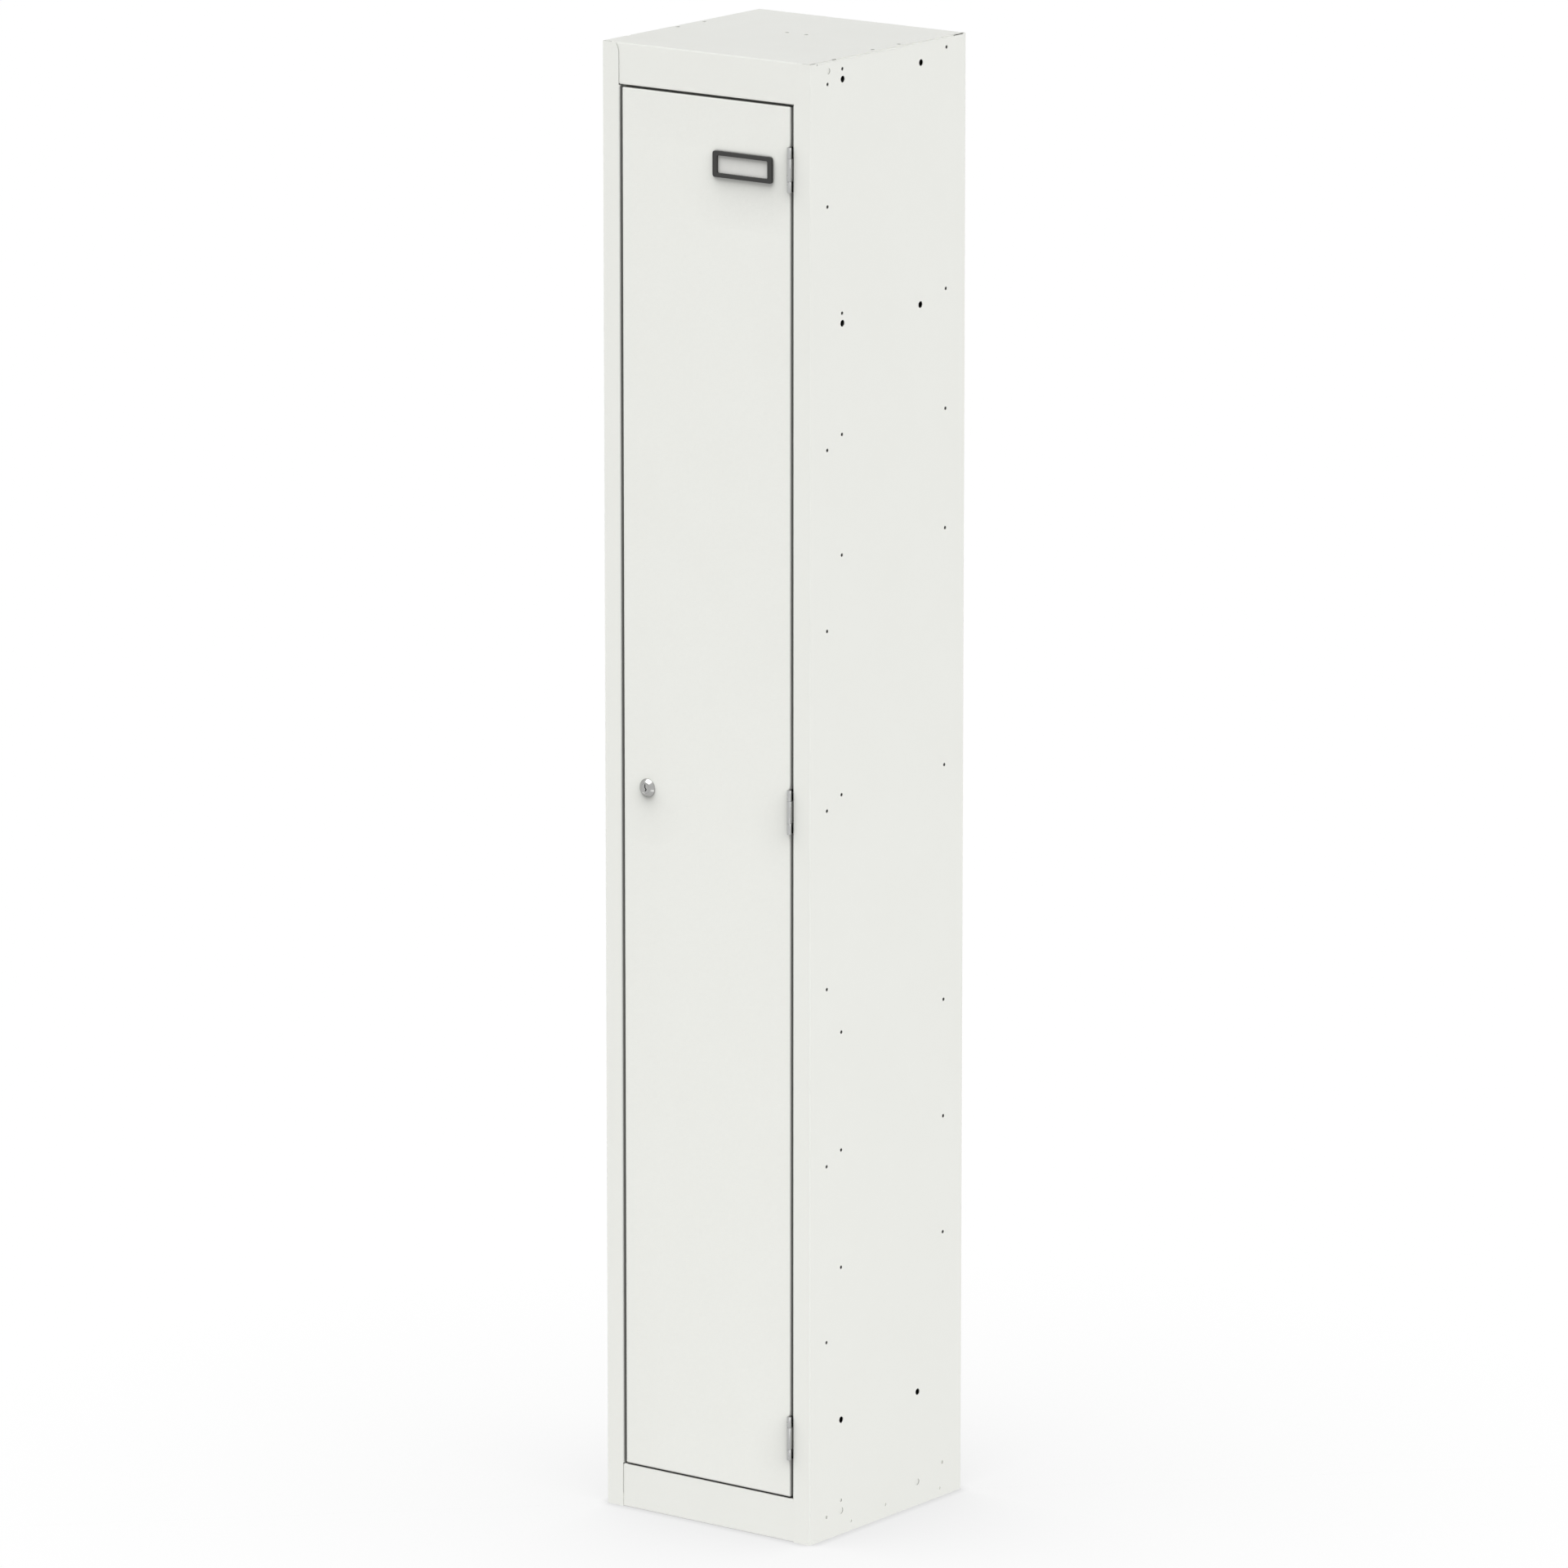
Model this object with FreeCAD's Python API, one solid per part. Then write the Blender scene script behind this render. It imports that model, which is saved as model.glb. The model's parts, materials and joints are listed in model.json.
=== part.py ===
import FreeCAD, Part
import math
import os

# A tall single-door clothes locker of folded and welded sheet steel, in millimetres.
# +X is to the right of someone facing the door, +Y points to the wall behind, +Z is up.
# The origin is at floor level, in the middle of the overall box (hinge knuckles included).

V = FreeCAD.Vector

# Carcass: the catalogue size of a 12 by 12 by 70 inch locker.
WIDTH = 305.0
DEPTH = 305.0
HEIGHT = 1780.0
SHEET = 0.9
BEND_INSIDE = 1.1
BEND_OUTSIDE = BEND_INSIDE + SHEET

# Door frame: the stiles are folded from the side panels, the header from the top, the sill from the base.
OPENING_HALF = 127.0
OPENING_BOTTOM = 53.4
OPENING_TOP = 1730.2
STILE_SEAM = 128.4
STILE_TOP = HEIGHT - 0.6
STILE_CURVE_START = 1766.5
STILE_CURVE_RADIUS = 20.0
JAMB_CLEARANCE = 0.8
STOP_DEPTH = 21.1
STOP_WIDTH = 12.0
RAIL_LAP = 140.0
LAP_GAP = 0.1
REAR_FLANGE = 15.5

# Door leaf, flush with the frame.
DOOR_HALF = 123.5
DOOR_BOTTOM = 55.2
DOOR_TOP = 1727.7
DOOR_THICK = 18.0
DOOR_LIP = 10.0
DOOR_MIDDLE = (DOOR_BOTTOM + DOOR_TOP) / 2
STIFFENER_LEFT = -50.0
STIFFENER_FLANGE = 12.0
STIFFENER_WEB = 26.0
STIFFENER_DEPTH = 14.0
STIFFENER_INSET = 15.0

# Hinges: a rolled knuckle standing in front of the gap on the right-hand side.
LEAF_THICK = 1.25
LEAF_WIDTH = 22.0
LEAF_CLEARANCE = 0.05
PIN_RADIUS = 1.5
PIN_FIT = 0.01
KNUCKLE_FIT = 0.05
KNUCKLE_RADIUS = (OPENING_HALF - DOOR_HALF + SHEET + LEAF_THICK + LEAF_CLEARANCE) / 2
KNUCKLE_STANDOFF = 0.15
HINGE_HALF = 26.5
FRAME_KNUCKLE_HALF = 13.3
DOOR_KNUCKLE_START = 13.5
NOTCH_CLEARANCE = 0.25
NOTCH_DEPTH = 6.5
HINGE_FROM_DOOR_END = 73.5

# Places in depth. The hinge knuckles are the foremost point of the locker.
KNUCKLE_PROUD = 2 * KNUCKLE_RADIUS + KNUCKLE_STANDOFF
FRONT = -(DEPTH - KNUCKLE_PROUD) / 2
BACK = FRONT + DEPTH
HALF = WIDTH / 2
WALL_INSIDE = HALF - SHEET
RAIL_FRONT = FRONT + SHEET + LAP_GAP
STOP_FRONT = FRONT + STOP_DEPTH
DOOR_INSIDE = FRONT + SHEET
DOOR_BACK = FRONT + DOOR_THICK
BACK_PANEL_BACK = BACK - SHEET
BACK_PANEL_FRONT = BACK - 2 * SHEET
BACK_PANEL_GAP = 0.1
FOLD_LAP = 10.0

# How far a cutting shape runs past what it cuts, and how close an edge lies to the face it is picked by.
PAST = 1.0
NEAR = 0.1

HINGE_X = OPENING_HALF - KNUCKLE_RADIUS
HINGE_Y = FRONT - KNUCKLE_STANDOFF - KNUCKLE_RADIUS
HINGE_HEIGHTS = {
    "upper": DOOR_TOP - HINGE_FROM_DOOR_END,
    "middle": DOOR_MIDDLE,
    "lower": DOOR_BOTTOM + HINGE_FROM_DOOR_END,
}

# Side-wall perforation: fixing points on one tier pitch, and holes for bolting lockers side by side.
# Depths are measured from the front, heights from the floor.
TIER_PITCH = 71.88
FIXING_RADIUS = 2.1
FRONT_FIXING_DEPTH = 33.0
FRONT_FIXING_BASE = 27.7
FRONT_FIXING_STEPS = (0, 3, 6, 9, 12, 15, 18, 22, 24)
TIER_FIXING_DEPTHS = (61.6, 265.8)
TIER_FIXING_BASE = 42.3
TIER_FIXING_STEPS = (0, 4, 6, 8, 12, 16, 18, 20, 24)
JOINING_RADIUS = 4.0
JOINING_DEPTHS = (62.2, 215.4)
JOINING_HEIGHTS = (29.3, 141.8, 1467.8, 1755.3)
TOP_CORNER_PLACE = (34.4, 1768.0)
TOP_CORNER_RADIUS = 3.5
HEADER_TAB_REACH = 44.0
HEADER_TAB_ENDS = (1757.0, 1776.0)
BASE_WELD_PLACES = ((82.1, 11.8), (151.0, 15.8), (260.8, 10.9))
BASE_WELD_RADIUS = 1.8

# Top panel: it lies on the side panels' turned-in edges. Places are (from the middle, from the front).
TOP_HALF = 150.3
TOP_REAR_FLANGE = 15.0
SIDE_TOP_FLANGE = 15.0
SIDE_FLANGE_START = 13.5
SIDE_FLANGE_END = 281.0
CORNER_RELIEF = 1.5
REAR_SLIT_END = 299.0
REAR_SLIT_HEIGHT = 0.5
EDGE_SLIT = (44.5, 52.5)
EDGE_SLIT_WIDTH = 1.8
TOP_HOLE_RADIUS = 2.6
TOP_HOLE_PLACES = ((143.0, 133.0), (143.0, 184.5), (14.0, 176.0))

# Base panel: a raised floor with its sides turned down inside the walls.
BASE_FLANGE_START = 34.0
BASE_FLANGE_END = 266.0
BASE_FLANGE_FOOT = 3.0
SILL_RETURN = 15.0

# Wall-fixing holes in the back panel.
WALL_HOLE_X = 85.0
WALL_HOLE_Z = 1729.0
WALL_HOLE_RADIUS = 3.5

# Hat shelf and the double coat hook under it.
SHELF_TOP = 1500.0
SHELF_FLANGE = 14.0
SHELF_HEM = 10.0
SHELF_FRONT = FRONT + 24.5
SHELF_CORNER_GAP = 5.0
HOOK_Y = FRONT + 142.0
HOOK_PLATE_HALF = (10.0, 30.0)
HOOK_PLATE_THICK = 2.0
HOOK_STEM_HALF = (7.0, 2.5)
HOOK_STEM_DROP = 40.0
HOOK_PRONG_RADIUS = 3.0
HOOK_CURVE_RADIUS = 16.0
HOOK_PRONG_RISE = 12.0
HOOK_TIP_RADIUS = 4.6
RIVET_SPREAD = 21.0
RIVET_RADIUS = 2.0
RIVET_HEAD_RADIUS = 3.8
RIVET_HEAD_HEIGHT = 1.5

# Rubber buffers pressed into the left stop, where the door's free edge lands.
BUFFER_X = -119.6
BUFFER_HEIGHTS = (391.5, 1391.5)
BUFFER_RADIUS = 4.5
BUFFER_HEIGHT = 2.8
BUFFER_STEM_RADIUS = 2.0
BUFFER_BULB_RADIUS = 3.0
BUFFER_BULB_LENGTH = 3.0

# Cam lock on the left of the door at half height.
LOCK_X = -88.5
LOCK_Z = DOOR_MIDDLE
LOCK_HEAD_RADIUS = 11.25
LOCK_FACE_RADIUS = 7.5
LOCK_HEAD_HEIGHT = 4.5
LOCK_RIM_HEIGHT = 0.6
LOCK_BARREL_RADIUS = 9.3
LOCK_BARREL_HALF_FLAT = 8.0
LOCK_BARREL_LENGTH = 19.5
LOCK_FIT = 0.1
LOCK_NUT_FLATS = 25.0
LOCK_NUT_THICK = 4.0
PLUG_RADIUS = 6.0
PLUG_FIT = 0.05
PLUG_RECESS = 0.2
CAM_FRONT = FRONT + 23.5
CAM_THICK = 2.0
CAM_REACH = 36.0
CAM_TIP_RADIUS = 7.0
CAM_HUB_RADIUS = 9.0
CAM_SQUARE_HALF = 3.5
CAM_SQUARE_FIT = 0.05
SCREW_RADIUS = 2.0
SCREW_LENGTH = 8.0
SCREW_HEAD_RADIUS = 5.5
SCREW_HEAD_HEIGHT = 2.6
SCREW_SLOT = 1.2
KEYWAY_WIDTH = 1.3
KEYWAY_DEPTH = 9.0
KEYWAY_PATH = ((-0.4, 5.0), (-0.4, 0.9), (1.5, -1.2), (-0.3, -3.2))

# Card frame on the upper right of the door. Sizes are (width, height).
CARD_X = 54.9
CARD_Z = 1650.7
CARD_FRAME_SIZE = (86.5, 31.0)
CARD_FRAME_THICK = 2.9
CARD_FRAME_CORNER = 3.2
CARD_FRAME_EDGE = 0.5
CARD_WINDOW_SIZE = (73.5, 20.8)
CARD_WINDOW_CORNER = 1.6
CARD_SIZE = (77.0, 24.4)
CARD_THICK = 0.4
CARD_POCKET_SIZE = (77.6, 25.0)
CARD_POCKET_DEPTH = 0.5
CARD_PEG_X = 41.0
CARD_PEG_RADIUS = 2.0
CARD_PEG_LENGTH = 5.0
CARD_PEG_FIT = 0.05


def box(x0, x1, y0, y1, z0, z1):
    """Block between two corners."""
    return Part.makeBox(x1 - x0, y1 - y0, z1 - z0, V(x0, y0, z0))


def rod(radius, start, end):
    """Round bar from one point to another."""
    along = end - start
    return Part.makeCylinder(radius, along.Length, start, along)


def rod_in_depth(radius, x, y0, y1, z):
    """Round bar running front to back."""
    return rod(radius, V(x, y0, z), V(x, y1, z))


def mirrored(shape):
    """The same shape on the other side of the locker's middle."""
    return shape.mirror(V(0, 0, 0), V(1, 0, 0))


def joined(pieces):
    """One clean solid from pieces that touch or overlap."""
    return pieces[0].fuse(list(pieces[1:])).removeSplitter()


# A folded sheet is drawn as a path seen end on, along one face of the sheet. Plan paths hold (x, y)
# and run upwards, section paths hold (y, z) and run along X, elevation paths hold (x, z) and run along Y.
LEFT = 1
RIGHT = -1
PLANES = {
    "plan": lambda u, v, w: V(u, v, w),
    "section": lambda u, v, w: V(w, u, v),
    "elevation": lambda u, v, w: V(u, w, v),
}


def run_directions(points):
    """Unit direction of each straight run of a path."""
    pairs = zip(points, points[1:])
    return [V(u1 - u0, v1 - v0, 0).normalize() for (u0, v0), (u1, v1) in pairs]


def shifted_path(points, distance):
    """The path moved sideways with mitred corners, to the left for a positive distance."""
    normals = [V(-run.y, run.x, 0) for run in run_directions(points)]
    shifted = []
    for index, (u, v) in enumerate(points):
        before = normals[max(index - 1, 0)]
        after = normals[min(index, len(normals) - 1)]
        mitre = (before + after) * (distance / (1 + before.dot(after)))
        shifted.append((u + mitre.x, v + mitre.y))
    return shifted


def corner_radii(points, side, inside, outside):
    """Bend radius along a path whose material lies on one side, for each of its corners."""
    runs = run_directions(points)
    turns = [before.cross(after).z for before, after in zip(runs, runs[1:])]
    return [outside if turn * side > 0 else inside for turn in turns]


def rounded_points(points, radii):
    """Start, tangent arc points (start, middle, end of each bend) and end of a path."""
    runs = run_directions(points)
    arcs = []
    for place, radius, before, after in zip(points[1:-1], radii, runs, runs[1:]):
        corner = V(*place, 0)
        half_turn = before.getAngle(after) / 2
        setback = radius * math.tan(half_turn)
        inward = (after - before).normalize()
        middle = corner + inward * (radius / math.cos(half_turn) - radius)
        arcs.append((corner - before * setback, middle, corner + after * setback))
    return V(*points[0], 0), arcs, V(*points[-1], 0)


def path_edges(points, radii, on_plane):
    """Straight runs joined by tangent arcs, as edges in space."""
    start, arcs, end = rounded_points(points, radii)
    edges = []
    for arc_start, arc_middle, arc_end in arcs:
        edges.append(Part.LineSegment(on_plane(start), on_plane(arc_start)).toShape())
        edges.append(Part.Arc(on_plane(arc_start), on_plane(arc_middle), on_plane(arc_end)).toShape())
        start = arc_end
    edges.append(Part.LineSegment(on_plane(start), on_plane(end)).toShape())
    return edges


def folded_sheet(plane, points, side, begin, end):
    """Sheet folded along a path, with its material on the given side, between two levels."""
    place = PLANES[plane]

    def on_plane(point):
        return place(point.x, point.y, begin)

    far_points = shifted_path(points, side * SHEET)
    near = path_edges(points, corner_radii(points, side, BEND_INSIDE, BEND_OUTSIDE), on_plane)
    far = path_edges(far_points, corner_radii(far_points, -side, BEND_INSIDE, BEND_OUTSIDE), on_plane)
    caps = []
    for near_end, far_end in ((points[0], far_points[0]), (points[-1], far_points[-1])):
        caps.append(Part.LineSegment(on_plane(V(*near_end, 0)), on_plane(V(*far_end, 0))).toShape())
    outline = Part.Wire(Part.__sortEdges__(near + far + caps))
    return Part.Face(outline).extrude(place(0, 0, end - begin))


# Side panels: wall, stile, jamb and door stop in one folded sheet, with turned-in top and rear edges.
def wall_holes():
    """Every hole through the right-hand wall, as (depth from the front, height, radius)."""
    holes = [TOP_CORNER_PLACE + (TOP_CORNER_RADIUS,)]
    for step in FRONT_FIXING_STEPS:
        holes.append((FRONT_FIXING_DEPTH, FRONT_FIXING_BASE + step * TIER_PITCH, FIXING_RADIUS))
    for depth in TIER_FIXING_DEPTHS:
        for step in TIER_FIXING_STEPS:
            holes.append((depth, TIER_FIXING_BASE + step * TIER_PITCH, FIXING_RADIUS))
    for depth in JOINING_DEPTHS:
        for height in JOINING_HEIGHTS:
            holes.append((depth, height, JOINING_RADIUS))
    for depth, height in BASE_WELD_PLACES:
        holes.append((depth, height, BASE_WELD_RADIUS))
    return holes


def side_panel():
    """Right-hand side panel."""
    wall_path = [(HALF - REAR_FLANGE, BACK), (HALF, BACK), (HALF, FRONT), (STILE_SEAM, FRONT)]
    wall = folded_sheet("plan", wall_path, RIGHT, 0, STILE_TOP)

    fold_top = HEIGHT - SHEET - BEND_OUTSIDE
    flange_start = FRONT + SIDE_FLANGE_START
    flange_end = FRONT + SIDE_FLANGE_END
    slit_end = FRONT + REAR_SLIT_END
    wall_zone = (WALL_INSIDE - PAST, HALF + PAST)
    wall = wall.cut(box(*wall_zone, flange_start - CORNER_RELIEF, flange_end, fold_top, HEIGHT))
    slit_floor = HEIGHT - SHEET - REAR_SLIT_HEIGHT
    wall = wall.cut(box(*wall_zone, flange_end - PAST, slit_end, slit_floor, HEIGHT))

    curve_middle = STILE_SEAM + STILE_CURVE_RADIUS
    stile_depth = (FRONT - PAST, RAIL_FRONT + PAST)
    corner = box(STILE_SEAM - PAST, curve_middle, *stile_depth, STILE_CURVE_START, HEIGHT)
    curve = rod_in_depth(STILE_CURVE_RADIUS, curve_middle, *stile_depth, STILE_CURVE_START)
    wall = wall.cut(corner.cut(curve))

    stop_end = OPENING_HALF - STOP_WIDTH
    jamb_path = [
        (STILE_SEAM + FOLD_LAP, FRONT),
        (OPENING_HALF, FRONT),
        (OPENING_HALF, STOP_FRONT),
        (stop_end, STOP_FRONT),
    ]
    jamb_top = OPENING_TOP - JAMB_CLEARANCE
    jamb = folded_sheet("plan", jamb_path, RIGHT, OPENING_BOTTOM + JAMB_CLEARANCE, jamb_top)

    top_level = HEIGHT - SHEET
    flange_path = [(HALF, fold_top - FOLD_LAP), (HALF, top_level), (HALF - SIDE_TOP_FLANGE, top_level)]
    top_flange = folded_sheet("elevation", flange_path, LEFT, flange_start, flange_end)

    panel = joined([wall, jamb, top_flange])
    for depth, height, radius in wall_holes():
        y = FRONT + depth
        panel = panel.cut(rod(radius, V(WALL_INSIDE - PAST, y, height), V(HALF + PAST, y, height)))
    for hole in top_openings():
        panel = panel.cut(hole)
    return panel


def buffer_holes():
    """Holes in the left-hand stop for the rubber buffers."""
    ends = (STOP_FRONT - PAST, STOP_FRONT + SHEET + PAST)
    return [rod_in_depth(BUFFER_STEM_RADIUS, BUFFER_X, *ends, height) for height in BUFFER_HEIGHTS]


# Top panel: the roof with its rear edge turned down and the header folded down in front. A tab at each
# end of the header is turned back inside the wall and plug-welded through the wall's top corner hole.
def top_openings():
    """Holes and edge slits of the right half of the roof, which also pass through the flange under it."""
    below = HEIGHT - 2 * SHEET - PAST
    above = HEIGHT + PAST
    openings = []
    for x, depth in TOP_HOLE_PLACES:
        y = FRONT + depth
        openings.append(rod(TOP_HOLE_RADIUS, V(x, y, below), V(x, y, above)))
    slit_start, slit_end = (FRONT + depth for depth in EDGE_SLIT)
    slit_inner = TOP_HALF - EDGE_SLIT_WIDTH
    openings.append(box(slit_inner, WALL_INSIDE - SHEET, slit_start, slit_end, below, above))
    return openings


def top_panel():
    roof_path = [
        (BACK_PANEL_FRONT, HEIGHT - TOP_REAR_FLANGE),
        (BACK_PANEL_FRONT, HEIGHT),
        (FRONT + FOLD_LAP, HEIGHT),
    ]
    roof = folded_sheet("section", roof_path, LEFT, -TOP_HALF, TOP_HALF)

    header_path = [
        (FRONT + 2 * FOLD_LAP, HEIGHT),
        (RAIL_FRONT, HEIGHT),
        (RAIL_FRONT, OPENING_TOP),
        (STOP_FRONT, OPENING_TOP),
        (STOP_FRONT, OPENING_TOP - STOP_WIDTH),
    ]
    header = folded_sheet("section", header_path, LEFT, -RAIL_LAP, RAIL_LAP)

    corner = box(RAIL_LAP, TOP_HALF, RAIL_FRONT, FRONT + 2 * FOLD_LAP, HEIGHT - SHEET, HEIGHT)
    tab_path = [
        (RAIL_LAP - FOLD_LAP, RAIL_FRONT),
        (WALL_INSIDE, RAIL_FRONT),
        (WALL_INSIDE, FRONT + HEADER_TAB_REACH),
    ]
    tab = folded_sheet("plan", tab_path, LEFT, *HEADER_TAB_ENDS)
    panel = joined([roof, header, corner, mirrored(corner), tab, mirrored(tab)])

    stop_end = OPENING_HALF - STOP_WIDTH - JAMB_CLEARANCE
    lip_depth = (STOP_FRONT - PAST, STOP_FRONT + SHEET + PAST)
    lip_end = box(stop_end, RAIL_LAP + PAST, *lip_depth, OPENING_TOP - STOP_WIDTH - PAST, OPENING_TOP)
    for opening in [lip_end] + top_openings():
        panel = panel.cut(opening).cut(mirrored(opening))
    return panel


# Base panel: raised floor, sill folded down in front, side and rear edges turned down inside the walls.
def base_panel():
    sill_path = [
        (RAIL_FRONT + SILL_RETURN, 0),
        (RAIL_FRONT, 0),
        (RAIL_FRONT, OPENING_BOTTOM),
        (FRONT + 2 * FOLD_LAP, OPENING_BOTTOM),
    ]
    sill = folded_sheet("section", sill_path, RIGHT, -RAIL_LAP, RAIL_LAP)

    floor_half = WALL_INSIDE - BEND_OUTSIDE
    floor_path = [
        (FRONT + FOLD_LAP, OPENING_BOTTOM),
        (BACK_PANEL_FRONT, OPENING_BOTTOM),
        (BACK_PANEL_FRONT, BASE_FLANGE_FOOT),
    ]
    floor = folded_sheet("section", floor_path, RIGHT, -floor_half, floor_half)

    flange_path = [
        (floor_half - FOLD_LAP, OPENING_BOTTOM),
        (WALL_INSIDE, OPENING_BOTTOM),
        (WALL_INSIDE, BASE_FLANGE_FOOT),
    ]
    flange_ends = (FRONT + BASE_FLANGE_START, FRONT + BASE_FLANGE_END)
    flange = folded_sheet("elevation", flange_path, RIGHT, *flange_ends)
    return joined([sill, floor, flange, mirrored(flange)])


def back_panel():
    """Flat sheet welded inside the side panels' rear edges, with two holes for fixing to a wall."""
    half = WALL_INSIDE - BEND_INSIDE - BACK_PANEL_GAP
    heights = (BASE_FLANGE_FOOT, HEIGHT - BASE_FLANGE_FOOT)
    panel = box(-half, half, BACK_PANEL_FRONT, BACK_PANEL_BACK, *heights)
    for x in (-WALL_HOLE_X, WALL_HOLE_X):
        hole = rod_in_depth(WALL_HOLE_RADIUS, x, BACK_PANEL_FRONT - PAST, BACK + PAST, WALL_HOLE_Z)
        panel = panel.cut(hole)
    return panel


# Hat shelf: a tray turned down all round, with its front edge folded back under as a safe edge.
def shelf_rivet_places():
    return [V(0, HOOK_Y + offset, SHELF_TOP) for offset in (-RIVET_SPREAD, RIVET_SPREAD)]


def hat_shelf():
    underside = SHELF_TOP - SHEET
    side_tangent = WALL_INSIDE - BEND_OUTSIDE
    lap = (SHELF_FRONT + FOLD_LAP, BACK_PANEL_FRONT - FOLD_LAP)
    plate = box(-side_tangent, side_tangent, *lap, underside, SHELF_TOP)

    flange_foot = SHELF_TOP - SHELF_FLANGE
    side_path = [(side_tangent - FOLD_LAP, SHELF_TOP), (WALL_INSIDE, SHELF_TOP), (WALL_INSIDE, flange_foot)]
    side_flange = folded_sheet("elevation", side_path, RIGHT, *lap)

    end_half = WALL_INSIDE - SHELF_CORNER_GAP
    hem_path = [
        (SHELF_FRONT + SHELF_HEM, flange_foot),
        (SHELF_FRONT, flange_foot),
        (SHELF_FRONT, SHELF_TOP),
        (SHELF_FRONT + 2 * FOLD_LAP, SHELF_TOP),
    ]
    hem = folded_sheet("section", hem_path, RIGHT, -end_half, end_half)
    rear_path = [
        (BACK_PANEL_FRONT - 2 * FOLD_LAP, SHELF_TOP),
        (BACK_PANEL_FRONT, SHELF_TOP),
        (BACK_PANEL_FRONT, flange_foot),
    ]
    rear_flange = folded_sheet("section", rear_path, RIGHT, -end_half, end_half)

    shelf = joined([plate, side_flange, mirrored(side_flange), hem, rear_flange])
    for place in shelf_rivet_places():
        shelf = shelf.cut(rod(RIVET_RADIUS, place - V(0, 0, SHEET + PAST), place + V(0, 0, PAST)))
    return shelf


# Double coat hook: a plate riveted under the shelf, a stem and two upturned prongs.
def hook_prong(direction):
    """One prong, towards the door (-1) or the back (1)."""
    curve_y = HOOK_Y + direction * HOOK_CURVE_RADIUS
    curve_z = SHELF_TOP - SHEET - HOOK_STEM_DROP
    tip_y = HOOK_Y + direction * 2 * HOOK_CURVE_RADIUS
    middle = V(0, curve_y, curve_z)
    ring = Part.makeTorus(HOOK_CURVE_RADIUS, HOOK_PRONG_RADIUS, middle, V(1, 0, 0))
    reach = HOOK_CURVE_RADIUS + HOOK_PRONG_RADIUS + PAST
    lower_half = box(-reach, reach, curve_y - reach, curve_y + reach, curve_z - reach, curve_z)
    tip = V(0, tip_y, curve_z + HOOK_PRONG_RISE)
    rise = rod(HOOK_PRONG_RADIUS, V(0, tip_y, curve_z), tip)
    return joined([ring.common(lower_half), rise, Part.makeSphere(HOOK_TIP_RADIUS, tip)])


def coat_hook():
    plate_top = SHELF_TOP - SHEET
    plate_foot = plate_top - HOOK_PLATE_THICK
    half_x, half_y = HOOK_PLATE_HALF
    plate = box(-half_x, half_x, HOOK_Y - half_y, HOOK_Y + half_y, plate_foot, plate_top)
    stem_x, stem_y = HOOK_STEM_HALF
    stem_foot = plate_top - HOOK_STEM_DROP - HOOK_PRONG_RADIUS
    stem = box(-stem_x, stem_x, HOOK_Y - stem_y, HOOK_Y + stem_y, stem_foot, plate_foot)
    hook = joined([plate, stem, hook_prong(-1), hook_prong(1)])
    for place in shelf_rivet_places():
        hook = hook.cut(rod(RIVET_RADIUS, place - V(0, 0, SHEET + HOOK_PLATE_THICK + PAST), place))
    return hook


def hook_rivets():
    """Two rivets through the shelf and the hook's plate, with a domed head at each end."""
    foot = SHEET + HOOK_PLATE_THICK
    dome_radius = (RIVET_HEAD_RADIUS**2 + RIVET_HEAD_HEIGHT**2) / (2 * RIVET_HEAD_HEIGHT)
    rivets = []
    for place in shelf_rivet_places():
        shank = rod(RIVET_RADIUS, place - V(0, 0, foot), place)
        ball = Part.makeSphere(dome_radius, place + V(0, 0, RIVET_HEAD_HEIGHT - dome_radius))
        above_shelf = rod(2 * RIVET_HEAD_RADIUS, place, place + V(0, 0, 2 * RIVET_HEAD_HEIGHT))
        upper_head = ball.common(above_shelf)
        lower_head = upper_head.mirror(place - V(0, 0, foot / 2), V(0, 0, 1))
        rivets.append(joined([shank, upper_head, lower_head]))
    return Part.makeCompound(rivets)


def door_buffers():
    """Rubber buffers: a domed head in front of the stop, a stem through it and a bulb behind."""
    behind = STOP_FRONT + SHEET
    buffers = []
    for height in BUFFER_HEIGHTS:
        head = rod_in_depth(BUFFER_RADIUS, BUFFER_X, STOP_FRONT - BUFFER_HEIGHT, STOP_FRONT, height)
        rims = [edge for edge in head.Edges if edge.BoundBox.YMax < STOP_FRONT - BUFFER_HEIGHT + NEAR]
        head = head.makeFillet(BUFFER_HEIGHT / 3, rims)
        stem = rod_in_depth(BUFFER_STEM_RADIUS, BUFFER_X, STOP_FRONT, behind, height)
        bulb = rod_in_depth(BUFFER_BULB_RADIUS, BUFFER_X, behind, behind + BUFFER_BULB_LENGTH, height)
        buffers.append(joined([head, stem, bulb]))
    return Part.makeCompound(buffers)


# Hinges: each has a leaf welded to the jamb, a leaf welded behind the door's face, and a pin.
def knuckle(low, high):
    """Outside of a rolled knuckle between two heights on the hinge line."""
    return rod(KNUCKLE_RADIUS, V(HINGE_X, HINGE_Y, low), V(HINGE_X, HINGE_Y, high))


def pin_hole(radius, middle):
    end = V(0, 0, HINGE_HALF + PAST)
    place = V(HINGE_X, HINGE_Y, middle)
    return rod(radius, place - end, place + end)


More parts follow.
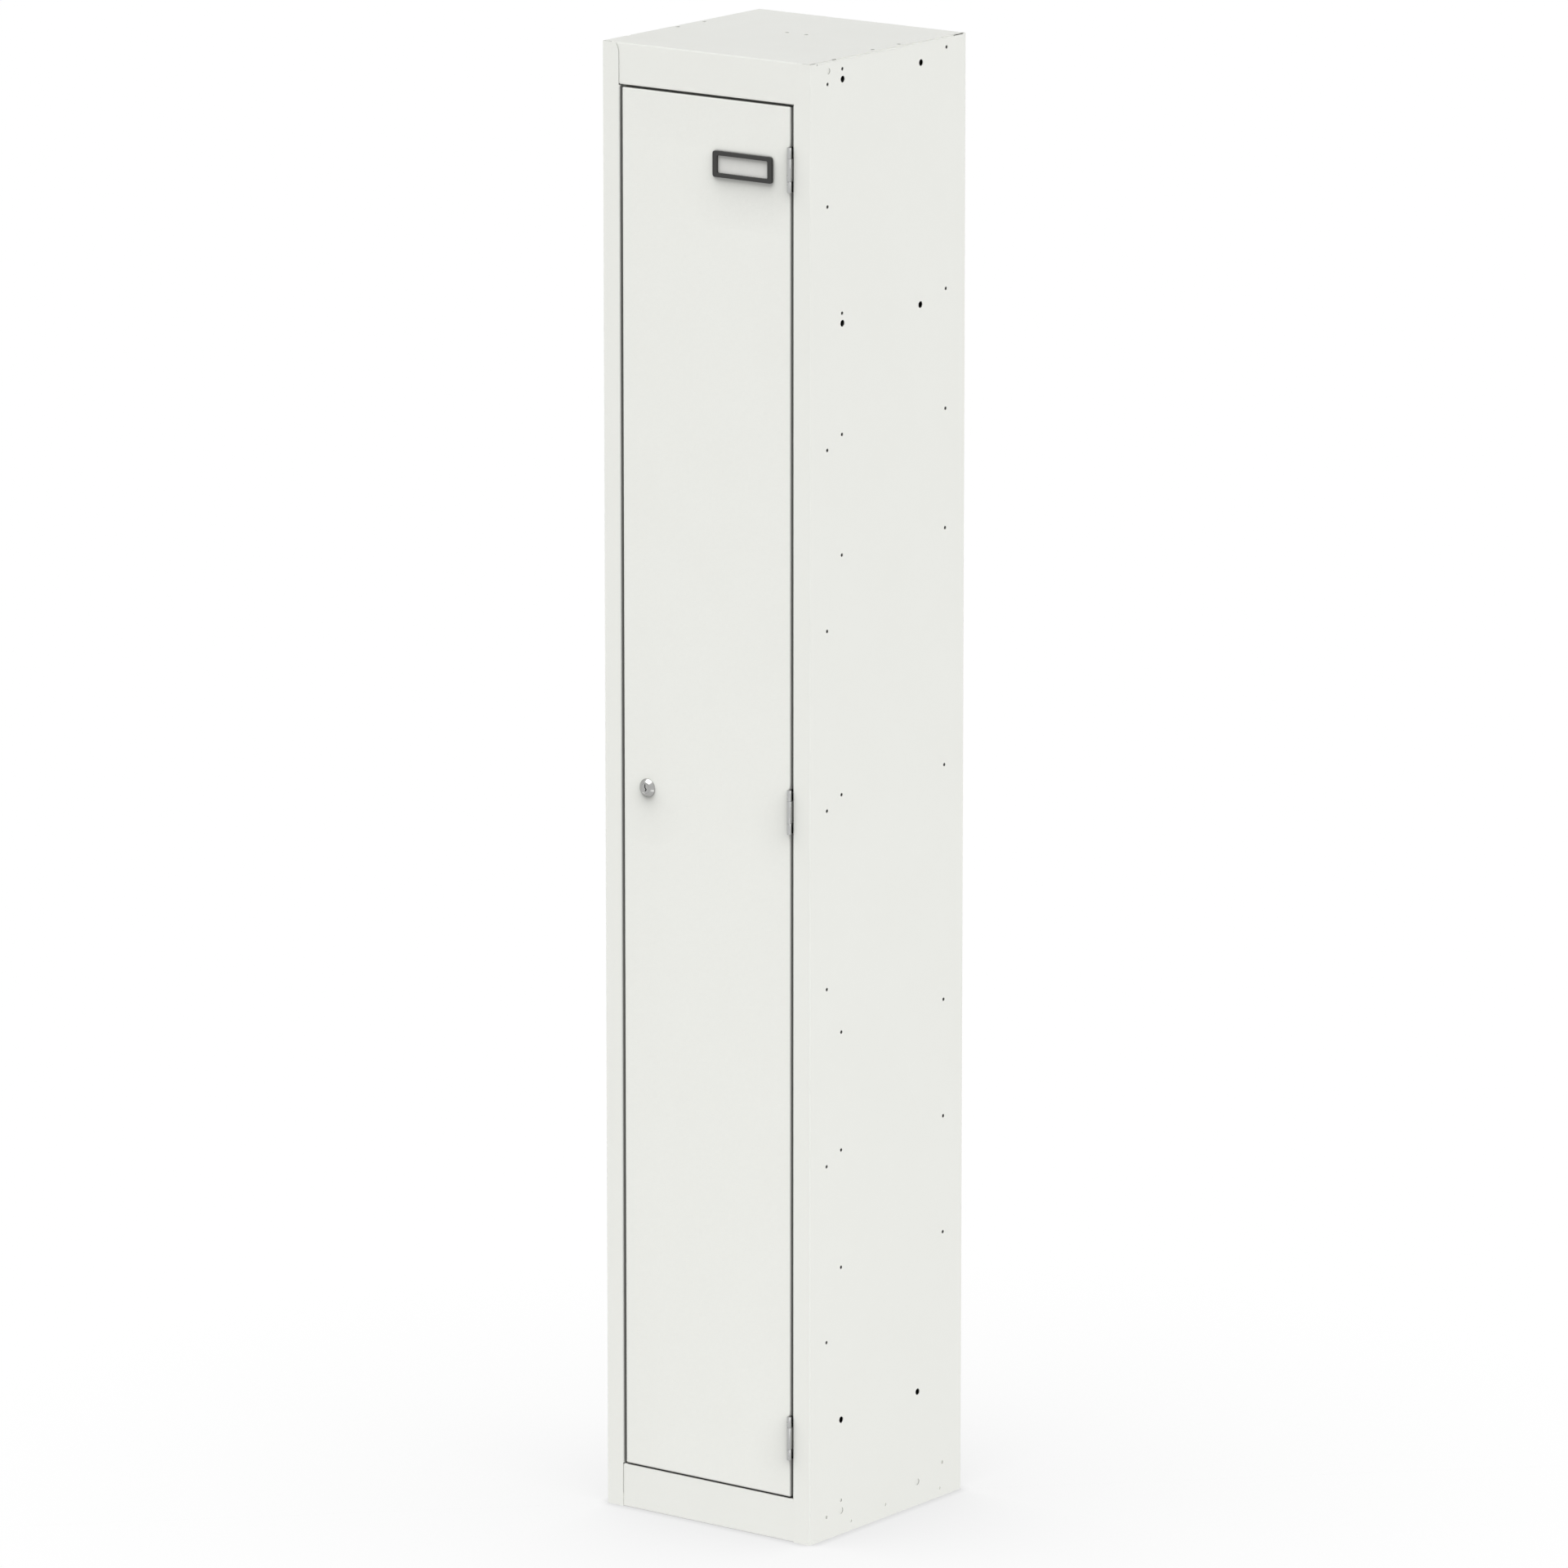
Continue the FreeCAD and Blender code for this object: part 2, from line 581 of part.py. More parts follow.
def hinge_frame_leaf(middle):
    """Leaf on the frame side: middle knuckle, neck through the gap and plate against the jamb."""
    inner = OPENING_HALF - LEAF_THICK
    low = middle - FRAME_KNUCKLE_HALF
    high = middle + FRAME_KNUCKLE_HALF
    plate_back = STOP_FRONT - BEND_OUTSIDE
    neck = box(inner, OPENING_HALF, HINGE_Y, plate_back, low, high)
    plate_front = FRONT + NOTCH_DEPTH
    plate = box(inner, OPENING_HALF, plate_front, plate_back, middle - HINGE_HALF, middle + HINGE_HALF)
    leaf = joined([knuckle(low, high), neck, plate])
    return leaf.cut(pin_hole(PIN_RADIUS + PIN_FIT, middle))


def door_knuckle_spans(middle):
    """Heights of the two outer knuckles, which belong to the door."""
    return (
        (middle - HINGE_HALF, middle - DOOR_KNUCKLE_START),
        (middle + DOOR_KNUCKLE_START, middle + HINGE_HALF),
    )


def hinge_door_leaf(middle):
    """Leaf on the door side: two knuckles, necks through the door's notches and a plate behind its face."""
    neck_left = HINGE_X - KNUCKLE_RADIUS
    neck_right = neck_left + LEAF_THICK
    plate_back = DOOR_INSIDE + LEAF_THICK
    plate_left = neck_left - LEAF_WIDTH
    pieces = [box(plate_left, neck_left, DOOR_INSIDE, plate_back, middle - HINGE_HALF, middle + HINGE_HALF)]
    for low, high in door_knuckle_spans(middle):
        pieces.append(knuckle(low, high))
        pieces.append(box(neck_left, neck_right, HINGE_Y, plate_back, low, high))
    return joined(pieces).cut(pin_hole(PIN_RADIUS + KNUCKLE_FIT, middle))


def hinge_pin(middle):
    end = V(0, 0, HINGE_HALF)
    place = V(HINGE_X, HINGE_Y, middle)
    return rod(PIN_RADIUS, place - end, place + end)


# Door: a pan with its edges turned back and in, notched for the hinges and drilled for lock and card frame.
def lock_barrel(radius, half_flat, y0, y1):
    """Round bar with two flats, which keeps the lock from turning in the door."""
    bar = rod_in_depth(radius, LOCK_X, y0, y1, LOCK_Z)
    return bar.common(box(LOCK_X - half_flat, LOCK_X + half_flat, y0, y1, LOCK_Z - radius, LOCK_Z + radius))


def pan(half, y_front, y_back, bottom, top, radius):
    """Block with its front face's outline and its four corners rounded."""
    block = box(-half, half, y_front, y_back, bottom, top)
    return block.makeFillet(radius, [edge for edge in block.Edges if edge.BoundBox.YMin < y_front + NEAR])


def door_panel():
    outside = pan(DOOR_HALF, FRONT, DOOR_BACK, DOOR_BOTTOM, DOOR_TOP, BEND_OUTSIDE)
    inner_half = DOOR_HALF - SHEET
    inner_ends = (DOOR_BOTTOM + SHEET, DOOR_TOP - SHEET)
    inside = pan(inner_half, DOOR_INSIDE, DOOR_BACK - SHEET, *inner_ends, BEND_INSIDE)
    lip_half = DOOR_HALF - DOOR_LIP
    lip_ends = (DOOR_BOTTOM + DOOR_LIP, DOOR_TOP - DOOR_LIP)
    mouth = box(-lip_half, lip_half, DOOR_BACK - SHEET - PAST, DOOR_BACK + PAST, *lip_ends)
    panel = outside.cut(inside).cut(mouth)

    notch_left = HINGE_X - KNUCKLE_RADIUS - NOTCH_CLEARANCE
    for middle in HINGE_HEIGHTS.values():
        for low, high in door_knuckle_spans(middle):
            heights = (low - NOTCH_CLEARANCE, high + NOTCH_CLEARANCE)
            depths = (FRONT - PAST, FRONT + NOTCH_DEPTH)
            panel = panel.cut(box(notch_left, DOOR_HALF + PAST, *depths, *heights))

    face_depth = (FRONT - PAST, DOOR_INSIDE + PAST)
    half_flat = LOCK_BARREL_HALF_FLAT + LOCK_FIT
    panel = panel.cut(lock_barrel(LOCK_BARREL_RADIUS + LOCK_FIT, half_flat, *face_depth))
    for x in card_peg_places():
        panel = panel.cut(rod_in_depth(CARD_PEG_RADIUS + CARD_PEG_FIT, x, *face_depth, CARD_Z))
    return panel


def door_stiffener():
    """Full-height channel of hat section welded behind the door's face."""
    web_left = STIFFENER_LEFT + STIFFENER_FLANGE
    web_right = web_left + STIFFENER_WEB
    web_back = DOOR_INSIDE + STIFFENER_DEPTH
    path = [
        (STIFFENER_LEFT, DOOR_INSIDE),
        (web_left, DOOR_INSIDE),
        (web_left, web_back),
        (web_right, web_back),
        (web_right, DOOR_INSIDE),
        (web_right + STIFFENER_FLANGE, DOOR_INSIDE),
    ]
    return folded_sheet("plan", path, LEFT, DOOR_BOTTOM + STIFFENER_INSET, DOOR_TOP - STIFFENER_INSET)


# Card frame: a moulded bezel with two pegs, and the blank card held in the pocket behind it.
def card_peg_places():
    return (CARD_X - CARD_PEG_X, CARD_X + CARD_PEG_X)


def card_block(size, y0, y1):
    """Upright block centred on the card's place."""
    half_width, half_height = size[0] / 2, size[1] / 2
    return box(CARD_X - half_width, CARD_X + half_width, y0, y1, CARD_Z - half_height, CARD_Z + half_height)


def rounded_card_block(size, y0, y1, radius):
    """Upright block with its four corners rounded."""
    block = card_block(size, y0, y1)
    corners = [edge for edge in block.Edges if edge.BoundBox.YLength > (y1 - y0) / 2]
    return block.makeFillet(radius, corners)


def card_frame():
    face = FRONT - CARD_FRAME_THICK
    bezel = rounded_card_block(CARD_FRAME_SIZE, face, FRONT, CARD_FRAME_CORNER)
    window_depth = (face - PAST, FRONT + PAST)
    bezel = bezel.cut(rounded_card_block(CARD_WINDOW_SIZE, *window_depth, CARD_WINDOW_CORNER))
    face_edges = [edge for edge in bezel.Edges if edge.BoundBox.YMax < face + NEAR]
    bezel = bezel.makeFillet(CARD_FRAME_EDGE, face_edges)
    bezel = bezel.cut(card_block(CARD_POCKET_SIZE, FRONT - CARD_POCKET_DEPTH, FRONT + PAST))
    pegs = [
        rod_in_depth(CARD_PEG_RADIUS, x, FRONT - CARD_POCKET_DEPTH, FRONT + CARD_PEG_LENGTH, CARD_Z)
        for x in card_peg_places()
    ]
    return joined([bezel] + pegs)


def name_card():
    return card_block(CARD_SIZE, FRONT - CARD_THICK, FRONT)


# Cam lock: housing and nut stay with the door, plug, cam and screw turn together.
def lock_housing():
    rim_front = FRONT - LOCK_RIM_HEIGHT
    rim = rod_in_depth(LOCK_HEAD_RADIUS, LOCK_X, rim_front, FRONT, LOCK_Z)
    cone_height = LOCK_HEAD_HEIGHT - LOCK_RIM_HEIGHT
    cone_base = V(LOCK_X, rim_front, LOCK_Z)
    cone = Part.makeCone(LOCK_HEAD_RADIUS, LOCK_FACE_RADIUS, cone_height, cone_base, V(0, -1, 0))
    barrel_ends = (FRONT, FRONT + LOCK_BARREL_LENGTH)
    barrel = lock_barrel(LOCK_BARREL_RADIUS, LOCK_BARREL_HALF_FLAT, *barrel_ends)
    bore_ends = (FRONT - LOCK_HEAD_HEIGHT - PAST, FRONT + LOCK_BARREL_LENGTH + PAST)
    bore = rod_in_depth(PLUG_RADIUS + PLUG_FIT, LOCK_X, *bore_ends, LOCK_Z)
    return joined([rim, cone, barrel]).cut(bore)


def lock_nut():
    """Hexagonal nut drawn up against the inside of the door's face."""
    corner_radius = LOCK_NUT_FLATS / math.sqrt(3)
    corners = []
    for step in range(7):
        angle = math.radians(60 * step)
        x = LOCK_X + corner_radius * math.cos(angle)
        corners.append(V(x, DOOR_INSIDE, LOCK_Z + corner_radius * math.sin(angle)))
    nut = Part.Face(Part.makePolygon(corners)).extrude(V(0, LOCK_NUT_THICK, 0))
    ends = (DOOR_INSIDE - PAST, DOOR_INSIDE + LOCK_NUT_THICK + PAST)
    return nut.cut(rod_in_depth(LOCK_BARREL_RADIUS + PLUG_FIT, LOCK_X, *ends, LOCK_Z))


def keyway(face):
    """Zigzag slot for the key, cut in from the plug's face."""
    strokes = []
    for (x0, z0), (x1, z1) in zip(KEYWAY_PATH, KEYWAY_PATH[1:]):
        along = V(x1 - x0, 0, z1 - z0)
        across = V(-along.z, 0, along.x).normalize() * (KEYWAY_WIDTH / 2)
        start = V(LOCK_X + x0, face - PAST, LOCK_Z + z0)
        end = start + along
        outline = [start - across, end - across, end + across, start + across, start - across]
        strokes.append(Part.Face(Part.makePolygon(outline)).extrude(V(0, KEYWAY_DEPTH + PAST, 0)))
    for x, z in KEYWAY_PATH[1:-1]:
        depths = (face - PAST, face + KEYWAY_DEPTH)
        strokes.append(rod_in_depth(KEYWAY_WIDTH / 2, LOCK_X + x, *depths, LOCK_Z + z))
    return joined(strokes)


def lock_plug():
    face = FRONT - LOCK_HEAD_HEIGHT + PLUG_RECESS
    core = rod_in_depth(PLUG_RADIUS, LOCK_X, face, CAM_FRONT, LOCK_Z)
    side = CAM_SQUARE_HALF
    square_ends = (CAM_FRONT, CAM_FRONT + CAM_THICK - PLUG_RECESS)
    square = box(LOCK_X - side, LOCK_X + side, *square_ends, LOCK_Z - side, LOCK_Z + side)
    thread_ends = (CAM_FRONT + CAM_THICK - SCREW_LENGTH, CAM_FRONT + CAM_THICK)
    thread = rod_in_depth(SCREW_RADIUS, LOCK_X, *thread_ends, LOCK_Z)
    return joined([core, square]).cut(keyway(face)).cut(thread)


def lock_cam():
    """Flat arm on the plug's square. It hangs down when unlocked, and turns left behind the stop to lock."""
    ends = (CAM_FRONT, CAM_FRONT + CAM_THICK)
    tip_z = LOCK_Z - CAM_REACH + CAM_TIP_RADIUS
    hub = rod_in_depth(CAM_HUB_RADIUS, LOCK_X, *ends, LOCK_Z)
    tip = rod_in_depth(CAM_TIP_RADIUS, LOCK_X, *ends, tip_z)
    arm = box(LOCK_X - CAM_TIP_RADIUS, LOCK_X + CAM_TIP_RADIUS, *ends, tip_z, LOCK_Z)
    side = CAM_SQUARE_HALF + CAM_SQUARE_FIT
    square_ends = (CAM_FRONT - PAST, CAM_FRONT + CAM_THICK + PAST)
    square = box(LOCK_X - side, LOCK_X + side, *square_ends, LOCK_Z - side, LOCK_Z + side)
    return joined([hub, tip, arm]).cut(square)


def cam_screw():
    """Slotted screw that holds the cam on the plug."""
    head_front = CAM_FRONT + CAM_THICK
    head_back = head_front + SCREW_HEAD_HEIGHT
    head = rod_in_depth(SCREW_HEAD_RADIUS, LOCK_X, head_front, head_back, LOCK_Z)
    rim = [edge for edge in head.Edges if edge.BoundBox.YMin > head_back - NEAR]
    head = head.makeFillet(SCREW_HEAD_HEIGHT / 3, rim)
    shank = rod_in_depth(SCREW_RADIUS, LOCK_X, head_front - SCREW_LENGTH, head_front, LOCK_Z)
    reach = SCREW_HEAD_RADIUS + PAST
    half_slot = SCREW_SLOT / 2
    slot_zone = (head_back - SCREW_SLOT, head_back + PAST, LOCK_Z - half_slot, LOCK_Z + half_slot)
    return joined([head, shank]).cut(box(LOCK_X - reach, LOCK_X + reach, *slot_zone))


def left_side_panel():
    """Left-hand side panel, which also carries the buffers."""
    panel = mirrored(side_panel())
    for hole in buffer_holes():
        panel = panel.cut(hole)
    return panel


def locker_nodes():
    """Every piece of the locker by name."""
    nodes = {
        "left_side_panel": left_side_panel(),
        "right_side_panel": side_panel(),
        "top_panel": top_panel(),
        "base_panel": base_panel(),
        "back_panel": back_panel(),
        "hat_shelf": hat_shelf(),
        "coat_hook": coat_hook(),
        "hook_rivets": hook_rivets(),
        "door_buffers": door_buffers(),
        "door_panel": door_panel(),
        "door_stiffener": door_stiffener(),
        "card_frame": card_frame(),
        "name_card": name_card(),
        "lock_housing": lock_housing(),
        "lock_nut": lock_nut(),
        "lock_plug": lock_plug(),
        "lock_cam": lock_cam(),
        "cam_screw": cam_screw(),
    }
    for place, middle in HINGE_HEIGHTS.items():
        nodes[place + "_hinge_frame_leaf"] = hinge_frame_leaf(middle)
        nodes[place + "_hinge_door_leaf"] = hinge_door_leaf(middle)
        nodes[place + "_hinge_pin"] = hinge_pin(middle)
    return nodes


os.makedirs("parts", exist_ok=True)
for name, shape in locker_nodes().items():
    shape.exportStep("parts/" + name + ".step")
    print(name, "solids", len(shape.Solids), "volume", round(shape.Volume), "valid", shape.isValid())
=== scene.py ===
import json
import math

import bmesh
import bpy
from mathutils import Matrix, Vector


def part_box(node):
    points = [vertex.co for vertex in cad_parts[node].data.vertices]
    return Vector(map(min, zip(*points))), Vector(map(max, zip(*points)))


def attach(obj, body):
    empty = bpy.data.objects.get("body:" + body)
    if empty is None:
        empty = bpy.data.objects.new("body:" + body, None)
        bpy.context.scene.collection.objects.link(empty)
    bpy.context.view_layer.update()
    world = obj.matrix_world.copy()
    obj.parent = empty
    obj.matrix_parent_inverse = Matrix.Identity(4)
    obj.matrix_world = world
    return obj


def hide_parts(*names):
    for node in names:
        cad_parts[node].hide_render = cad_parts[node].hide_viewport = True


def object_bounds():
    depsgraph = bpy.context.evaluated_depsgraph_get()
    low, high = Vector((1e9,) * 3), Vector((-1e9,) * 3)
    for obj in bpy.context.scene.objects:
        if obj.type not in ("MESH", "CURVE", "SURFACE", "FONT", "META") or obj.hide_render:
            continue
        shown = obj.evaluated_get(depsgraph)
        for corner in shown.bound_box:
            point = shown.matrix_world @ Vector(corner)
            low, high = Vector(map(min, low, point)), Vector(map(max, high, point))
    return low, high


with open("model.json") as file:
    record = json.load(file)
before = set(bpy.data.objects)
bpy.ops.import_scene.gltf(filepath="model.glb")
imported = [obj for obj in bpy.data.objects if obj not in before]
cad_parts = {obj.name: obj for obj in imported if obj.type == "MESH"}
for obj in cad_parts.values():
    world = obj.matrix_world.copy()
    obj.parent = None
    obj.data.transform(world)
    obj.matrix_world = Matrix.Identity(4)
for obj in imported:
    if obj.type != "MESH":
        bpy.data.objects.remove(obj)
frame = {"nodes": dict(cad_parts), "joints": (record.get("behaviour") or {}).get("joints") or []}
nodes = frame["nodes"]
cad_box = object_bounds()


# Carcass panels and door
# Walls, roof, floor, back, hat shelf and door are 0.9 mm sheet steel, folded and spot-welded. The whole
# locker is then sprayed with off-white powder and baked, which leaves a satin skin with a fine orange peel.
SHEET = 0.0009
COAT_COLOUR = (0.815, 0.822, 0.782, 1)
COAT_SHADE = (0.795, 0.800, 0.757, 1)
# Grey and dark colours painted into the gaps and holes of the front as shade
GAP_SHADE_GREY = (0.34, 0.343, 0.327, 1)
GAP_SHADE_DARK = (0.15, 0.152, 0.144, 1)
BLACK = (0, 0, 0, 1)
COAT_ROUGHNESS = 0.42
COAT_ROUGHNESS_SWING = 0.16
COAT_CLOUD_SIZE = 1 / 11
PEEL_SIZE = 0.0012
PEEL_DEPTH = 0.000006
WAVE_SIZE = 0.22
WAVE_DEPTH = 0.00012
WELD_LINE = 0.1445
WELD_PITCH = 0.120
WELD_RADIUS = 0.003
WELD_FLAT_RADIUS = 0.6 * WELD_RADIUS
WELD_DEPTH = 0.00012
REAR_FLANGE_DEPTH = 0.003
SKIN_DEPTH = 0.8 * SHEET
FACE_DEPTH = 0.0005
GAP_DEPTH = 12 * SHEET
FOLD_REACH = 0.015
FOLD_SAMPLES = 16
FLOOR_REACH = 0.02  # up to this height the floor is near, and the shade painted into the gaps is left off
DOOR_GAP_SHADE_RANGE = (0.32, 0.85)  # shares of open sky at which the shade painted into the door's gaps is darkest and gone
PANEL_GAP_SHADE_RANGE = (0.3, 0.72)  # the same for the panels
DOOR_GAP_SHADE_EXTRA = 0.18  # extra shade painted on the door's folds beside the gap, as a share of open sky
JAMB_GAP_SHADE_EXTRA = 0.28  # the same on the jambs
LEDGE_REACH = 0.06
LEDGE_SAMPLES = 24
LEDGE_LEAN = 0.12  # how far the look upwards leans out from the face
LEDGE_SHADE = 0.9  # how strongly the shadow painted under a ledge darkens the door
STILE_LEDGE_SHADE = 0.4  # the same on the stiles
LEDGE_DARKEST = 0.5
UP = (0, 0, 1)
PANELS = (
    "left_side_panel",
    "right_side_panel",
    "top_panel",
    "base_panel",
    "back_panel",
    "hat_shelf",
    "door_stiffener",
)

door_low, door_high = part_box("door_panel")
door_front = door_low[1]


def add_node(tree, kind, values=None, **settings):
    """New node with its settings and the values of its inputs, each a value or another node's output."""
    made = tree.nodes.new(kind)
    for setting, value in settings.items():
        setattr(made, setting, value)
    for socket, value in (values or {}).items():
        if isinstance(value, bpy.types.NodeSocket):
            tree.links.new(value, made.inputs[socket])
        else:
            made.inputs[socket].default_value = value
    return made


def add_math(tree, operation, first, second=0.0):
    """Result of a sum on one or two values, each a number or another node's output."""
    return add_node(tree, "ShaderNodeMath", {0: first, 1: second}, operation=operation).outputs["Value"]


def vector_math(tree, operation, values):
    """Result of a sum on vectors."""
    return add_node(tree, "ShaderNodeVectorMath", values, operation=operation).outputs["Vector"]


def map_range(tree, value, start, end, at_start=0.0, at_end=1.0):
    """Value between two limits, spread over another range and held at its ends."""
    limits = {"Value": value, "From Min": start, "From Max": end, "To Min": at_start, "To Max": at_end}
    return add_node(tree, "ShaderNodeMapRange", limits).outputs["Result"]


def object_place(tree):
    """Place on the piece in metres."""
    return tree.nodes.new("ShaderNodeTexCoord").outputs["Object"]


def separate(tree, place):
    """The three parts of a place."""
    return add_node(tree, "ShaderNodeSeparateXYZ", {"Vector": place}).outputs


def distance_from_line(tree, *sides):
    """Distance from a line, by the two parts of a place across it."""
    squares = [add_math(tree, "POWER", add_math(tree, "ABSOLUTE", side), 2.0) for side in sides]
    return add_math(tree, "SQRT", add_math(tree, "ADD", *squares))


def open_sky(tree, values, samples):
    """Share of open sky at a place, past the faces within a distance."""
    return add_node(tree, "ShaderNodeAmbientOcclusion", values, samples=samples).outputs["AO"]


def noise(tree, place, size, detail=2.0, roughness=0.5):
    """Fractal noise at a place, with spots of a size in metres."""
    scale = add_math(tree, "DIVIDE", 1.0, size)
    values = {"Vector": place, "Scale": scale, "Detail": detail, "Roughness": roughness}
    return add_node(tree, "ShaderNodeTexNoise", values).outputs["Fac"]


def new_group(name, inputs, outputs):
    """Node group with named sockets for values and places. Returns its tree, its inputs and its end node."""
    tree = bpy.data.node_groups.new(name, "ShaderNodeTree")
    for socket, value in inputs.items():
        kind = "NodeSocketFloat" if isinstance(value, float) else "NodeSocketVector"
        tree.interface.new_socket(socket, in_out="INPUT", socket_type=kind).default_value = value
    for socket in outputs:
        tree.interface.new_socket(socket, in_out="OUTPUT", socket_type="NodeSocketFloat")
    start = tree.nodes.new("NodeGroupInput")
    end = tree.nodes.new("NodeGroupOutput")
    return tree, start.outputs, end


def close_group(tree, end, results):
    """Joins a group's results to its outputs."""
    for socket, result in results.items():
        tree.links.new(result, end.inputs[socket])
    return tree


def around(tree, middle, mask, swing):
    """Value that strays from its middle with a mask."""
    stray = add_math(tree, "MULTIPLY", add_math(tree, "SUBTRACT", mask, 0.5), swing)
    return add_math(tree, "ADD", middle, stray)


def baked_powder_group():
    """Orange peel on wavy sheet: a cloud mask, roughness and height in metres."""
    inputs = {
        "Peel size": PEEL_SIZE,
        "Peel depth": PEEL_DEPTH,
        "Wave size": WAVE_SIZE,
        "Wave depth": WAVE_DEPTH,
        "Cloud size": COAT_CLOUD_SIZE,
        "Mean roughness": COAT_ROUGHNESS,
        "Roughness swing": COAT_ROUGHNESS_SWING,
    }
    tree, given, end = new_group("baked_powder", inputs, ("Cloud", "Roughness", "Height"))
    place = object_place(tree)
    peel = noise(tree, place, given["Peel size"])
    wave = noise(tree, place, given["Wave size"], detail=1.0)
    cloud = noise(tree, place, given["Cloud size"], detail=5.0, roughness=0.6)
    peel_height = add_math(tree, "MULTIPLY", peel, given["Peel depth"])
    wave_height = add_math(tree, "MULTIPLY", wave, given["Wave depth"])
    results = {
        "Cloud": cloud,
        "Roughness": around(tree, given["Mean roughness"], cloud, given["Roughness swing"]),
        "Height": add_math(tree, "ADD", peel_height, wave_height),
    }
    return close_group(tree, end, results)


def new_material(name):
    """Material with one shader. Returns the material, its tree and the shader."""
    material = bpy.data.materials.new(name)
    material.use_nodes = True
    tree = material.node_tree
    return material, tree, tree.nodes["Principled BSDF"]


def place_group(tree, group, values=None):
    """One use of a node group with its own values."""
    return add_node(tree, "ShaderNodeGroup", values, node_tree=group).outputs


def blend_colours(tree, mask, first, second):
    """Colour that goes from the first to the second along a mask."""
    colours = {"Factor": mask, "A": first, "B": second}
    return add_node(tree, "ShaderNodeMix", colours, data_type="RGBA", clamp_factor=False).outputs["Result"]


def dress(tree, shader, colour, roughness, height, metallic=0.0):
    """Gives a shader its colour, its roughness, its metal and a height in metres as bump."""
    tree.links.new(colour, shader.inputs["Base Color"])
    tree.links.new(roughness, shader.inputs["Roughness"])
    shader.inputs["Metallic"].default_value = metallic
    bump = add_node(tree, "ShaderNodeBump", {"Strength": 1.0, "Distance": 1.0, "Height": height})
    tree.links.new(bump.outputs["Normal"], shader.inputs["Normal"])


def inside_locker(tree, x, y, z):
    """One on the faces that the closed locker hides, zero on its skin and in the gaps of its front."""
    walls = add_math(tree, "LESS_THAN", add_math(tree, "ABSOLUTE", x), cad_box[1][0] - SKIN_DEPTH)
    back = add_math(tree, "LESS_THAN", y, cad_box[1][1] - SKIN_DEPTH)
    roof = add_math(tree, "LESS_THAN", z, cad_box[1][2] - SKIN_DEPTH)
    shell = add_math(tree, "MINIMUM", add_math(tree, "MINIMUM", walls, back), roof)
    behind_front = map_range(tree, y, door_front + GAP_DEPTH / 2, door_front + GAP_DEPTH)
    return add_math(tree, "MULTIPLY", shell, behind_front)


def ledge_shadow_group():
    """Mask for painted shadow: one on a plain upright face, falling below whatever stands out from it."""
    inputs = {"Reach": LEDGE_REACH, "Shade": LEDGE_SHADE}
    tree, given, end = new_group("ledge_shadow", inputs, ("Open",))
    outward = tree.nodes.new("ShaderNodeNewGeometry").outputs["Normal"]
    lean = vector_math(tree, "SCALE", {0: outward, "Scale": LEDGE_LEAN})
    upward = vector_math(tree, "NORMALIZE", {0: vector_math(tree, "ADD", {0: lean, 1: UP})})
    sky = open_sky(tree, {"Distance": given["Reach"], "Normal": upward}, LEDGE_SAMPLES)
    plain_face_sky = (1 + LEDGE_LEAN / math.hypot(1, LEDGE_LEAN)) / 2
    lost = add_math(tree, "SUBTRACT", 1.0, add_math(tree, "DIVIDE", sky, plain_face_sky))
    left = add_math(tree, "SUBTRACT", 1.0, add_math(tree, "MULTIPLY", lost, given["Shade"]))
    return close_group(tree, end, {"Open": add_math(tree, "MAXIMUM", left, LEDGE_DARKEST)})


def beside_door(tree, y, z):
    """One on the folded edges that face the gap on each side of the door, zero on plain faces."""
    past_face = add_math(tree, "GREATER_THAN", y, door_front + FACE_DEPTH)
    above_sill = add_math(tree, "GREATER_THAN", z, door_low[2])
    under_header = add_math(tree, "LESS_THAN", z, door_high[2])
    return add_math(tree, "MINIMUM", past_face, add_math(tree, "MINIMUM", above_sill, under_header))


def gap_shade_mask(tree, gap_shade_range, gap_shade_extra):
    """Mask that is one on open faces and falls to zero in the gaps of the front, where shade is painted."""
    sky = open_sky(tree, {"Distance": FOLD_REACH}, FOLD_SAMPLES)
    x, y, z = separate(tree, object_place(tree))
    extra_shade = add_math(tree, "MULTIPLY", beside_door(tree, y, z), gap_shade_extra)
    clear_of_gap_shade = map_range(tree, add_math(tree, "SUBTRACT", sky, extra_shade), *gap_shade_range)
    near_floor = map_range(tree, z, FOLD_REACH, FLOOR_REACH, 1.0, 0.0)
    free = add_math(tree, "MAXIMUM", near_floor, inside_locker(tree, x, y, z))
    return add_math(tree, "MAXIMUM", clear_of_gap_shade, free)


def painted_gap_shade(tree):
    """Shade painted into the gaps: grey in the upright gaps of the front, dark in level gaps and holes."""
    outward = tree.nodes.new("ShaderNodeNewGeometry").outputs["Normal"]
    level = add_math(tree, "ABSOLUTE", separate(tree, outward)["Z"])
    depth = separate(tree, object_place(tree))["Y"]
    in_front = add_math(tree, "LESS_THAN", depth, door_front + GAP_DEPTH)
    upright = add_math(tree, "MULTIPLY", in_front, add_math(tree, "SUBTRACT", 1.0, level))
    return blend_colours(tree, upright, GAP_SHADE_DARK, GAP_SHADE_GREY)


def paint_ledge_shadow(tree, colour, shade):
    """Colour with shadow painted in on the face of the door and stiles, under what stands out there."""
    depth = separate(tree, object_place(tree))["Y"]
    on_face = add_math(tree, "LESS_THAN", depth, door_front + FACE_DEPTH)
    dull = blend_colours(tree, place_group(tree, ledge_shadow, {"Shade": shade})["Open"], BLACK, colour)
    return blend_colours(tree, on_face, colour, dull)


